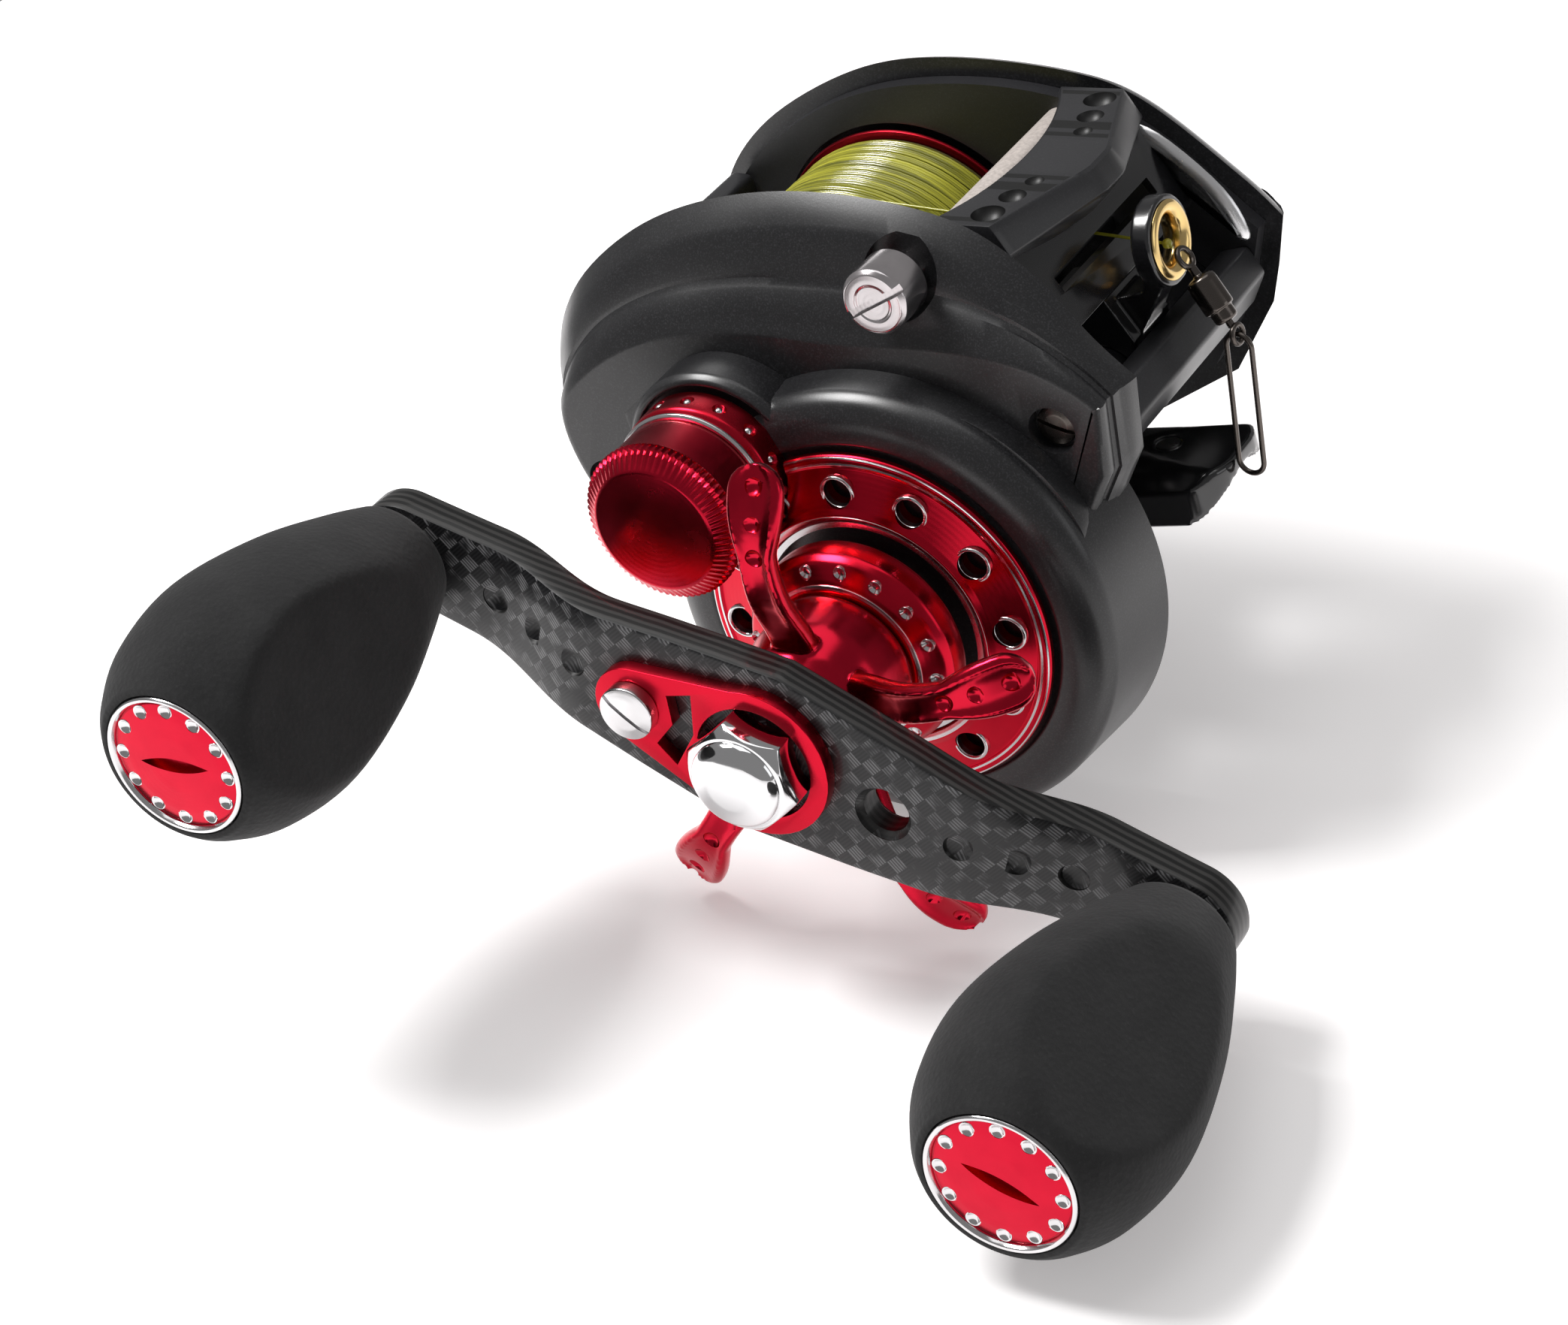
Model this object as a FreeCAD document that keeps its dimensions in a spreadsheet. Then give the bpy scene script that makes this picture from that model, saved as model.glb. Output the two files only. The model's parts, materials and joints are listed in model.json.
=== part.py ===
"""Low-profile baitcasting reel with a double-knob handle, star drag, filled spool, swivel and snap.

Row frame: X runs forward along the fishing line, Y runs to the palm side, so the handle is on -Y,
and Z points away from the rod.  The origin is on the crown of the foot's saddle, under the middle
of the reel, and the drive shaft's axis is the Y axis.
"""
import FreeCAD, Part
import math
import os
import re

from FreeCAD import Placement, Rotation, Vector

doc = FreeCAD.newDocument("baitcasting_reel")
dims = doc.addObject("Spreadsheet::Sheet", "Dims")

DIMENSIONS = {
    # frame and axes (mm and degrees)
    "inside": (16.5, "centre plane to the inner face of a frame plate"),
    "plate": (2.0, "thickness of a frame plate"),
    "wall": (1.8, "wall of the side covers"),
    "spool_reach": (23.375, "drive shaft axis to spool axis, the gears' centre distance"),
    "spool_angle": (129.11, "direction of the spool axis from the drive shaft"),
    "worm_x": (17.5, "worm axis, forward"),
    "worm_z": (12.6, "worm axis, up"),
    "rail_x": (14.2, "guide rail, forward"),
    "rail_z": (19.2, "guide rail, up"),
    # gear side
    "shoulder_y": (-25.5, "outer face of the gear cover's shoulder"),
    "boss_y": (-31.6, "outer face of the gearbox boss"),
    "boss_r": (25.5, "gearbox boss radius"),
    "disc_r": (19.9, "vented disc radius"),
    "disc_bore": (12.9, "vented disc bore radius"),
    "disc_rise": (2.4, "how far the vented disc is dished outward"),
    "vent_pitch": (16.0, "pitch radius of the vent holes"),
    "vent_r": (1.65, "vent hole radius"),
    "vent_phase": (86.6, "angle of one vent hole"),
    "vents": (12, "vent holes"),
    "knob_boss_r": (10.8, "boss under the spool tension cap"),
    # gears
    "drive_teeth": (73, "teeth of the drive gear"),
    "pinion_teeth": (12, "teeth of the pinion"),
    "fine_module": (0.55, "module of the drive gear and pinion"),
    "wind_teeth": (40, "teeth of the level wind drive gear"),
    "worm_teeth": (22, "teeth of the worm shaft's gear"),
    "backlash": (0.12, "backlash taken off each tooth"),
    "drive_gear_y": (-24.6, "outer face of the drive gear"),
    "drive_gear_w": (3.4, "drive gear width"),
    "wind_gear_y": (-20.6, "outer face of the level wind gears"),
    "wind_gear_w": (1.4, "level wind gear width"),
    # drive shaft, drag and star
    "shaft_r": (3.0, "drive shaft radius"),
    "shaft_end": (-54.15, "outer end of the drive shaft's shoulder"),
    "fit": (0.05, "radial running clearance"),
    "collar_r": (11.8, "star collar radius"),
    "star_reach": (28.9, "tip radius of the star's arms"),
    "star_phase": (80.5, "angle of one star arm"),
    "star_arms": (5, "arms of the star"),
    "star_y": (-51.6, "middle plane of the star's arms at the hub"),
    # handle
    "crank_angle": (29.3, "handle angle below the horizontal at the front end"),
    "knob_reach": (45.0, "drive shaft to knob spindle"),
    "arm_y": (-58.2, "outer face of the handle arm at the hub"),
    "arm_sweep": (3.9, "how far the arm's ends are swept to the reel"),
    "arm_t": (4.0, "handle arm thickness"),
    "arm_hub_r": (10.2, "handle arm half width at the hub"),
    "arm_end_r": (5.6, "handle arm half width at its ends"),
    "nut_flats": (11.0, "nut across flats"),
    "nut_h": (5.2, "nut hexagon height"),
    "grip_len": (39.6, "knob grip length"),
    "grip_r": (13.2, "largest grip radius"),
    "facet_reach": (9.6, "knob spindle to the flats on a grip"),
    "cap_r": (7.8, "knob end cap radius"),
    "spindle_r": (2.3, "knob spindle radius"),
    # spool
    "flange_r": (16.7, "spool flange radius"),
    "hub_r": (9.0, "spool hub radius"),
    "line_r": (16.0, "radius of the wound line"),
    "arbor_r": (1.5, "spool shaft radius"),
    "ball_r": (5.0, "outer radius of the spool bearings"),
    # foot
    "foot_len": (57.2, "foot length"),
    "foot_w": (14.8, "foot width"),
    "saddle_r": (8.8, "saddle radius, the rod seat's outer radius"),
    "foot_t": (2.9, "foot thickness above the saddle's crown"),
    # tension cap and line guide
    "tension_r": (8.9, "tension cap radius"),
    "tension_y": (-44.5, "outer face of the tension cap"),
    "ring_x": (26.0, "line guide ring, forward"),
    "ring_z": (26.2, "line guide ring, up"),
    "ring_r": (3.6, "line guide ring outer radius"),
    "line_d": (0.35, "fishing line diameter"),
}

for row, (alias, (value, note)) in enumerate(DIMENSIONS.items(), start=1):
    dims.set(f"A{row}", note)
    dims.set(f"B{row}", str(value))
    dims.setAlias(f"B{row}", alias)
doc.recompute()

SIDEWAYS = Rotation(Vector(1, 0, 0), -90)          # turns a primitive's own Z to +Y
nodes = {}


def size(alias):
    """A driving dimension as a plain number."""
    return float(dims.get(alias))


SPOOL_X = size("spool_reach") * math.cos(math.radians(size("spool_angle")))
SPOOL_Z = size("spool_reach") * math.sin(math.radians(size("spool_angle")))
AT_SPOOL = ("spool_reach * cos(spool_angle)", "spool_reach * sin(spool_angle)")
AT_DRIVE = ("0", "0")
AT_WORM = ("worm_x", "worm_z")
AT_RAIL = ("rail_x", "rail_z")


def cells(text):
    """An expression over the sheet, from a text that names its aliases."""
    return re.sub(r"\b([a-z][a-z_]*)\b(?!\()", r"Dims.\1", str(text))


def bind(item, **sizes):
    for name, text in sizes.items():
        item.setExpression(name, cells(text))
    return item


def place(item, x, y, z, turn=SIDEWAYS):
    item.Placement = Placement(Vector(), turn)
    for key, text in (("x", x), ("y", y), ("z", z)):
        item.setExpression(f"Placement.Base.{key}", cells(text))
    return item


def cylinder(radius, length, at, y):
    """A cylinder along +Y from the plane y, on the axis at (x, z)."""
    item = bind(doc.addObject("Part::Cylinder", "Cylinder"), Radius=radius, Height=length)
    return place(item, at[0], y, at[1])


def cut(base, tool):
    item = doc.addObject("Part::Cut", "Cut")
    item.Base, item.Tool = base, tool
    return item


def fuse(*parts):
    item = doc.addObject("Part::MultiFuse", "Fuse")
    item.Shapes = list(parts)
    return item


def group(*parts):
    item = doc.addObject("Part::Compound", "Group")
    item.Links = list(parts)
    return item


def solid(shape):
    """A feature whose shape comes from Part's own functions."""
    item = doc.addObject("Part::Feature", "Solid")
    item.Shape = shape
    return item


def tube(outer, inner, length, at, y):
    return cut(cylinder(outer, length, at, y), cylinder(inner, length, at, y))


def node(label, item):
    item.Label = label
    nodes[label] = item
    return item


def on_arm(reach, angle, centre=(0.0, 0.0)):
    """(x, z) at a radius and an angle about an axis along Y."""
    turn = math.radians(angle)
    return centre[0] + reach * math.cos(turn), centre[1] + reach * math.sin(turn)


def prism(points, y, length):
    """A solid with a straight-sided outline of (x, z) points, from the plane y along +Y."""
    corners = [Vector(x, y, z) for x, z in points]
    face = Part.Face(Part.makePolygon(corners + corners[:1]))
    return face.extrude(Vector(0, length, 0))


def slab(points, z, height):
    """A solid with an outline of (x, y) points, from the plane z up."""
    corners = [Vector(x, y, z) for x, y in points]
    face = Part.Face(Part.makePolygon(corners + corners[:1]))
    return face.extrude(Vector(0, 0, height))


def rod(radius, length, start, direction):
    return Part.makeCylinder(radius, length, start, direction)


# ---------------------------------------------------------------- outlines of the two sides

# Each outline is (back, nose): a smooth back from the nose over the top, then straight runs under the nose.
GEAR_SIDE = (
    [(30.0, 20.0), (26.5, 24.5), (21.0, 33.0), (13.5, 39.0), (0.5, 42.8), (-12.5, 43.3),
     (-24.5, 40.5), (-35.0, 34.0), (-40.0, 25.0), (-38.0, 13.0), (-31.0, 2.0), (-20.0, -6.0)],
    [(8.0, -3.5), (21.0, 1.5), (28.5, 12.0)])
GEAR_CREASE = (
    [(29.6, 20.2), (26.2, 25.0), (20.0, 31.6), (13.0, 36.6), (2.0, 39.6), (-12.0, 40.4),
     (-23.0, 38.4), (-32.6, 33.4), (-38.6, 24.6), (-37.2, 12.8), (-30.6, 2.4), (-19.8, -5.6)],
    [(8.0, -3.5), (21.0, 1.5), (28.5, 12.0)])
GEAR_RIDGE = (
    [(29.0, 20.0), (26.5, 22.6), (21.5, 25.6), (13.5, 27.9), (0.5, 29.6), (-10.5, 31.4),
     (-21.5, 31.2), (-31.0, 28.0), (-37.0, 22.5), (-36.0, 12.5), (-29.8, 3.0), (-19.2, -4.4)],
    [(8.0, -2.4), (20.4, 2.4), (27.4, 12.2)])
PALM_SIDE = (
    [(30.3, 19.5), (26.6, 24.5), (17.6, 34.2), (9.4, 38.4), (-5.0, 41.4), (-17.0, 41.0),
     (-30.4, 36.0), (-38.6, 28.4), (-40.2, 19.0), (-35.4, 6.8), (-25.0, -1.8), (-10.0, -4.2)],
    [(8.0, -3.5), (20.0, 1.5), (26.5, 9.5), (28.3, 13.8)])


def outline(side, inset):
    """A closed wire from an outline's back and nose, moved inwards by inset."""
    back_points, nose_points = side
    points = back_points + nose_points
    count = len(points)
    moved = []
    for i, (x, z) in enumerate(points):
        (xa, za), (xb, zb) = points[i - 1], points[(i + 1) % count]
        run = math.hypot(xb - xa, zb - za)
        moved.append(Vector(x - inset * (zb - za) / run, 0, z + inset * (xb - xa) / run))
    back = Part.BSplineCurve()
    back.interpolate(moved[:len(back_points)])
    edges = [back.toShape()]
    rest = moved[len(back_points) - 1:] + moved[:1]
    edges += [Part.makeLine(a, b) for a, b in zip(rest, rest[1:])]
    return Part.Wire(edges)


def side_block(side, inset, y_from, y_to):
    face = Part.Face(outline(side, inset))
    face.translate(Vector(0, y_from, 0))
    return face.extrude(Vector(0, y_to - y_from, 0))


def crowned_block(side, inset, lean, y_from, y_to):
    """A side block that narrows by lean on its way out."""
    outer, inner = outline(side, inset + lean), outline(side, inset)
    inner.translate(Vector(0, y_from, 0))
    outer.translate(Vector(0, y_to, 0))
    return Part.makeLoft([inner, outer], True)


def crown(inset, steps):
    """The gear cover's body: sections at each y, every one moved inwards by inset."""
    sections = []
    for side, y in zip((GEAR_SIDE, GEAR_CREASE, GEAR_RIDGE), steps):
        wire = outline(side, inset)
        wire.translate(Vector(0, y, 0))
        sections.append(wire)
    return Part.makeLoft(sections, True, True)


def spool_rod(radius, y_from, y_to):
    return rod(radius, y_to - y_from, Vector(SPOOL_X, y_from, SPOOL_Z), Vector(0, 1, 0))


def drive_rod(radius, y_from, y_to):
    return rod(radius, y_to - y_from, Vector(0, y_from, 0), Vector(0, 1, 0))


def worm_rod(radius, y_from, y_to):
    return rod(radius, y_to - y_from, Vector(size("worm_x"), y_from, size("worm_z")), Vector(0, 1, 0))


def rail_rod(radius, y_from, y_to):
    return rod(radius, y_to - y_from, Vector(size("rail_x"), y_from, size("rail_z")), Vector(0, 1, 0))


INSIDE, PLATE, WALL, FIT = size("inside"), size("plate"), size("wall"), size("fit")
PLATE_OUT = INSIDE + PLATE
BOSS_Y, SHOULDER_Y = size("boss_y"), size("shoulder_y")


# ---------------------------------------------------------------- frame, foot and covers

FLANGE_GAP = 0.4
TRAY_R = size("flange_r") + FLANGE_GAP
TUBE_R, TUBE_BORE = 3.9, 2.75
RAIL_R = 1.2
SCREW_SPOTS = [(22.9, 17.9), (-33.5, 14.0)]
PALM_SCREW_SPOTS = [(21.5, 15.0), (-33.0, 12.0), (-6.0, 36.0)]
THUMB_SCREW = (8.8, -26.6, 34.6)
THUMB_SHANK_R = 1.6
TENSION_BASE_R = size("tension_r") + 0.3
RIVET_X = (20.0, 14.0)
SADDLE = rod(size("saddle_r"), 2 * size("foot_len"),
             Vector(-size("foot_len"), 0, -size("saddle_r")), Vector(1, 0, 0))


def main_frame():
    """Both plates and the tray under the spool, in one casting."""
    gear_plate = side_block(GEAR_SIDE, 2.2, -PLATE_OUT, -INSIDE).fuse(
        drive_rod(size("boss_r") - 0.3, -PLATE_OUT, -INSIDE))
    palm_plate = side_block(PALM_SIDE, 2.2, INSIDE, PLATE_OUT)
    tray = spool_rod(TRAY_R + 1.1, -INSIDE, INSIDE).cut(spool_rod(TRAY_R, -INSIDE, INSIDE))
    keep = prism([(-30.5, 14.5), (-30.5, -4), (12, -4), (-2.5, 8.0), (SPOOL_X, SPOOL_Z)],
                 -INSIDE, 2 * INSIDE)
    tray = tray.common(keep)
    frame = gear_plate.fuse([palm_plate, tray])
    holes = [spool_rod(TRAY_R, INSIDE - 1, PLATE_OUT + 1),
             spool_rod(7.0, -PLATE_OUT - 1, -INSIDE + 1),
             drive_rod(5.0, -PLATE_OUT - 1, -INSIDE + 1),
             worm_rod(TUBE_R + FIT, -PLATE_OUT - 1, PLATE_OUT + 1),
             rail_rod(RAIL_R + FIT, -PLATE_OUT - 1, PLATE_OUT + 1),
             rod(THUMB_SHANK_R + FIT, 8, Vector(THUMB_SCREW[0], -PLATE_OUT - 4, THUMB_SCREW[2]), Vector(0, 1, 0)),
             SADDLE]
    return frame.cut(holes).removeSplitter()


def reel_foot():
    """A long saddle blade with round tips, hollowed for the spool tray."""
    half, width = size("foot_len") / 2, size("foot_w")
    tips = 5.2
    drop = 4.0
    blade = Part.makeBox(2 * (half - tips), width, size("foot_t") + drop,
                         Vector(tips - half, -width / 2, -drop))
    corners = [rod(tips, size("foot_t") + drop, Vector(x, y, -drop), Vector(0, 0, 1))
               for x in (tips - half, half - tips) for y in (tips - width / 2, width / 2 - tips)]
    ends = [Part.makeBox(tips, width - 2 * tips, size("foot_t") + drop, Vector(x, tips - width / 2, -drop))
            for x in (-half, half - tips)]
    blade = blade.fuse(corners + ends)
    crown = rod(size("saddle_r") + size("foot_t"), 2 * half, Vector(-half, 0, -size("saddle_r")),
                Vector(1, 0, 0))
    slopes = [prism([(s * (half - 13), size("foot_t") + 0.1), (s * (half + 1), size("foot_t") - 1.5),
                     (s * (half + 1), 9), (s * (half - 13), 9)], -width, 2 * width) for s in (-1, 1)]
    blade = blade.common(crown).cut(slopes + [SADDLE, spool_rod(TRAY_R + 1.1 + FIT, -width, width)])
    return blade.cut([rod(1.3 + FIT, 12, Vector(x, 0, -6), Vector(0, 0, 1)) for x in RIVET_X])


node("main_frame", solid(main_frame()))
node("reel_foot", solid(reel_foot()))
node("foot_rivets", group(*[solid(rod(1.3, 2.2, Vector(x, 0, 0.25), Vector(0, 0, 1))) for x in RIVET_X]))


def gear_cover():
    """The deep cover on the handle side, with the round gearbox boss and the tension cap's boss."""
    base = crown(0.0, (-PLATE_OUT - 0.05, -21.2, SHOULDER_Y))
    skirt = size("boss_r") + 1.3
    boss = Part.makeCone(size("boss_r"), skirt, -PLATE_OUT - 0.05 - BOSS_Y, Vector(0, BOSS_Y, 0), Vector(0, 1, 0))
    bevel = drive_rod(size("boss_r") + 3, BOSS_Y, BOSS_Y + 2.4).cut(
        Part.makeCone(size("boss_r") - 2.4, size("boss_r"), 2.4, Vector(0, BOSS_Y, 0), Vector(0, 1, 0)))
    cap_boss = spool_rod(size("knob_boss_r"), BOSS_Y + 0.6, -PLATE_OUT - 0.05)
    outside = base.fuse([boss, cap_boss]).cut(bevel)
    inside = crown(WALL, (-PLATE_OUT, -20.2, SHOULDER_Y + WALL)).fuse(
        [drive_rod(size("boss_r") - WALL - 0.4, BOSS_Y + 2.6, -PLATE_OUT),
         spool_rod(size("knob_boss_r") - WALL, BOSS_Y + 3.4, -PLATE_OUT)])
    clears = [drive_rod(7.0 + FIT, BOSS_Y - 1, -20),
              spool_rod(TENSION_BASE_R + 0.4, BOSS_Y - 1, BOSS_Y + 0.6),
              spool_rod(size("ball_r") + FIT, BOSS_Y - 1, -20),
              worm_rod(8.9, -21.4, -PLATE_OUT),
              rod(4.2, 8, Vector(*THUMB_SCREW), Vector(0, 1, 0))]
    clears += [rod(2.3, 6, Vector(x, SHOULDER_Y - 0.2, z), Vector(0, 1, 0)) for x, z in SCREW_SPOTS]
    return outside.cut(inside).cut(clears)


node("gear_side_cover", solid(gear_cover()))


def palm_cover():
    """The crowned palm plate, with the seat of the spool's far bearing inside."""
    shell = crowned_block(PALM_SIDE, 0.0, 4.6, PLATE_OUT + 0.05, 24.2)
    hollow = side_block(PALM_SIDE, 4.6 + WALL, PLATE_OUT, 24.2 - WALL)
    seat = spool_rod(size("ball_r") + 1.4, PLATE_OUT + 0.3, 24.0)
    socket = spool_rod(size("ball_r") + FIT, PLATE_OUT, PLATE_OUT + 3.4)
    holes = [rod(1.6, 12, Vector(x, PLATE_OUT - 1, z), Vector(0, 1, 0)) for x, z in PALM_SCREW_SPOTS]
    return shell.cut(hollow).fuse(seat).cut([socket] + holes)


node("palm_side_cover", solid(palm_cover()))


def screw(x, y, z, head_r, head_t, way):
    """A slotted screw: the head's outer face is at y, and the shank runs the way of the sign."""
    head = rod(head_r, head_t, Vector(x, y, z), Vector(0, way, 0))
    shank = rod(head_r * 0.55, 3.2, Vector(x, y, z), Vector(0, way, 0))
    slot = Part.makeBox(2 * head_r, 1.0, 0.5)
    slot.translate(Vector(x - head_r, y - 0.5, z - 0.25))
    return head.fuse(shank).cut(slot)


node("cover_screws", group(*[solid(screw(x, SHOULDER_Y + 0.4, z, 2.2, 1.3, 1)) for x, z in SCREW_SPOTS]))
node("palm_cover_screws", group(*[solid(screw(x, 23.2, z, 1.5, 1.3, -1)) for x, z in PALM_SCREW_SPOTS]))


def front_hood():
    """The bridge over the front: a hollow rear edge, a prow and two lower facets."""
    side = [(10.5, 37.4), (16.5, 37.9), (23.0, 35.8), (20.0, 31.6), (17.5, 34.0), (10.8, 35.5)]
    hood = prism(side, -INSIDE + 0.05, 2 * (INSIDE - 0.05))
    back = rod(36.0, 12, Vector(-25.2 + 2.2, 0, 30), Vector(0, 0, 1))
    beak = slab([(5, -20), (18.2, -17), (23.2, -3), (23.2, 3), (18.2, 17), (5, 20)], 28, 12)
    return hood.common(beak).cut(back)


node("front_hood", solid(front_hood()))


def front_bar():
    """The faceted bar between the noses."""
    side = [(23.0, 17.0), (26.4, 17.4), (27.8, 14.2), (25.4, 10.6), (23.6, 10.2), (22.8, 12.6)]
    return prism(side, -INSIDE + 0.05, 2 * (INSIDE - 0.05))


node("front_bar", solid(front_bar()))


def front_shield():
    """The dark inner panel under the hood, behind the line guide."""
    half = INSIDE - 0.05
    left = prism([(9.5, 9.0), (11.0, 9.0), (11.4, 22.0), (10.4, 22.0)], -half, 2 * half)
    return left


node("front_shield", solid(front_shield()))
TRIM_OUTLINE = [(15.0, 33.0), (19.5, 31.2), (25.4, 24.2), (27.2, 18.6), (25.2, 18.4), (22.6, 24.0),
                (17.6, 29.4), (13.6, 31.2)]
node("front_trim", solid(prism(TRIM_OUTLINE, INSIDE - 0.9, 0.85)))
node("top_cross_bar", cylinder("2.0", "2 * inside - 0.1", ("8.6", "33.3"), "0.05 - inside"))

# ---------------------------------------------------------------- vented disc on the gearbox


def vented_disc():
    """A dished plate with a ring of vent holes."""
    rim_t = 1.1
    bore, edge = size("disc_bore"), size("disc_r")
    base_y, rise = BOSS_Y - 0.05, size("disc_rise")
    profile = [(edge, base_y), (edge, base_y - 0.8), (edge - 0.8, base_y - rim_t),
               (bore + 0.6, base_y - rise - 0.4), (bore, base_y - rise), (bore, base_y)]
    corners = [Vector(r, y, 0) for r, y in profile]
    plate = Part.Face(Part.makePolygon(corners + corners[:1])).revolve(Vector(), Vector(0, 1, 0), 360)
    count = int(size("vents"))
    drills = []
    for i in range(count):
        x, z = on_arm(size("vent_pitch"), size("vent_phase") + 360 * i / count)
        drills.append(rod(size("vent_r"), 8, Vector(x, BOSS_Y - 6, z), Vector(0, 1, 0)))
    return plate.cut(drills + [spool_rod(TENSION_BASE_R + 0.4, BOSS_Y - 6, BOSS_Y + 1)])


node("vented_disc", solid(vented_disc()))
node("disc_ring", tube("disc_bore - 0.05", "disc_bore - 0.7", "2.2", AT_DRIVE, "boss_y - 2.25"))
node("one_way_bearing", tube("7.0", "shaft_r + fit", "4.2", AT_DRIVE, "boss_y - 0.4"))
node("drive_shaft_bearing", tube("5.0 - fit", "shaft_r + fit", "plate", AT_DRIVE, "0 - inside - plate"))
node("spool_bearing_gear_side", tube("ball_r", "arbor_r + fit", "1.8", AT_SPOOL, "boss_y + 0.7"))
node("spool_bearing_palm_side", tube("ball_r", "arbor_r + fit", "3.0", AT_SPOOL, "inside + plate + 0.3"))
node("brake_ring", tube("14.2", "12.6", "2.0", AT_SPOOL, "inside + plate + 0.3"))

# ---------------------------------------------------------------- gears


def gear(teeth, module, phase, centre, y, width, bore):
    """A spur gear with involute flanks; a tooth is centred on phase."""
    pitch = teeth * module / 2
    root, tip = pitch - 1.2 * module, pitch + 0.85 * module
    pressure = math.radians(20)
    base = pitch * math.cos(pressure)
    thickness = math.pi * module / 2 - size("backlash")

    def half_angle(radius):
        lean = math.acos(min(1.0, base / radius))
        return (thickness / (2 * pitch) + math.tan(pressure) - pressure
                - (math.tan(lean) - lean))

    flank = [max(root, base) + (tip - max(root, base)) * k / 3 for k in range(4)]
    points = []
    for tooth in range(teeth):
        middle = math.radians(phase) + 2 * math.pi * tooth / teeth
        rise = [(radius, middle - half_angle(radius)) for radius in flank]
        fall = [(radius, middle + half_angle(radius)) for radius in reversed(flank)]
        foot = [(root, rise[0][1])] if root < base else []
        heel = [(root, fall[-1][1])] if root < base else []
        for radius, turn in foot + rise + fall + heel:
            points.append((centre[0] + radius * math.cos(turn), centre[1] + radius * math.sin(turn)))
    blank = prism(points, y, width)
    return blank.cut(rod(bore, width + 2, Vector(centre[0], y - 1, centre[1]), Vector(0, 1, 0)))


SPOOL_DIR = size("spool_angle")
WORM_DIR = math.degrees(math.atan2(size("worm_z"), size("worm_x")))
WIND_MODULE = 2 * math.hypot(size("worm_x"), size("worm_z")) / (size("wind_teeth") + size("worm_teeth"))

DRIVE_BORE = size("shaft_r") + 0.01
node("drive_gear", solid(gear(int(size("drive_teeth")), size("fine_module"), SPOOL_DIR, (0, 0),
                              size("drive_gear_y"), size("drive_gear_w"), DRIVE_BORE)))
node("level_wind_gear", solid(gear(int(size("wind_teeth")), WIND_MODULE, WORM_DIR, (0, 0),
                                   size("wind_gear_y"), size("wind_gear_w"), DRIVE_BORE)))
node("worm_gear", solid(gear(int(size("worm_teeth")), WIND_MODULE,
                             WORM_DIR + 180 + 180 / size("worm_teeth"),
                             (size("worm_x"), size("worm_z")),
                             size("wind_gear_y"), size("wind_gear_w"), 1.5 + 0.01)))


def pinion():
    """Pinion teeth, then a collar with the yoke's groove."""
    teeth = gear(int(size("pinion_teeth")), size("fine_module"),
                 SPOOL_DIR + 180 + 180 / size("pinion_teeth"), (SPOOL_X, SPOOL_Z), -25.6, 6.2, 1.0)
    collar = spool_rod(3.3, -27.6, -25.6).cut(
        spool_rod(4.0, -26.9, -26.1).cut(spool_rod(2.6, -26.9, -26.1)))
    return teeth.fuse(collar).cut(spool_rod(size("arbor_r") + FIT, -30, -15))


node("pinion", solid(pinion()))


def clutch_yoke():
    """A fork plate in the pinion's groove."""
    plate = Part.makeBox(14.0, 0.6, 7.6, Vector(SPOOL_X - 7.0, -26.8, SPOOL_Z - 3.0))
    slot = Part.makeBox(5.4, 2, 9, Vector(SPOOL_X - 2.7, -27.5, SPOOL_Z - 9.0))
    round_end = spool_rod(2.7, -27.5, -25.5)
    return plate.cut([slot, round_end])


node("clutch_yoke", solid(clutch_yoke()))

# ---------------------------------------------------------------- level wind

node("worm_tube", solid(worm_rod(TUBE_R, -PLATE_OUT, PLATE_OUT).cut(
    [worm_rod(TUBE_BORE, -30, 30),
     Part.makeBox(2.6, 2 * INSIDE - 4, 6, Vector(size("worm_x") - 1.3, 2 - INSIDE, size("worm_z") - 6))])))
node("guide_rail", solid(rail_rod(RAIL_R, -PLATE_OUT, PLATE_OUT)))


def worm_shaft():
    """The worm: a plain core with crossing grooves, and a journal for its gear."""
    core = worm_rod(2.4, -PLATE_OUT + 0.2, PLATE_OUT - 0.2)
    journal = worm_rod(1.5, -21.2, -PLATE_OUT + 0.2)
    bearings = [worm_rod(TUBE_BORE - FIT, -PLATE_OUT + 0.2, -INSIDE + 0.4),
                worm_rod(TUBE_BORE - FIT, INSIDE - 0.4, PLATE_OUT - 0.2)]
    worm = core.fuse([journal] + bearings)
    rings = 9
    for i in range(rings):
        y = -12.0 + 24.0 * i / (rings - 1)
        groove = worm_rod(3.0, y - 0.45, y + 0.45).cut(worm_rod(2.0, y - 0.45, y + 0.45))
        worm = worm.cut(groove)
    return worm


node("worm_shaft", solid(worm_shaft()))


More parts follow.
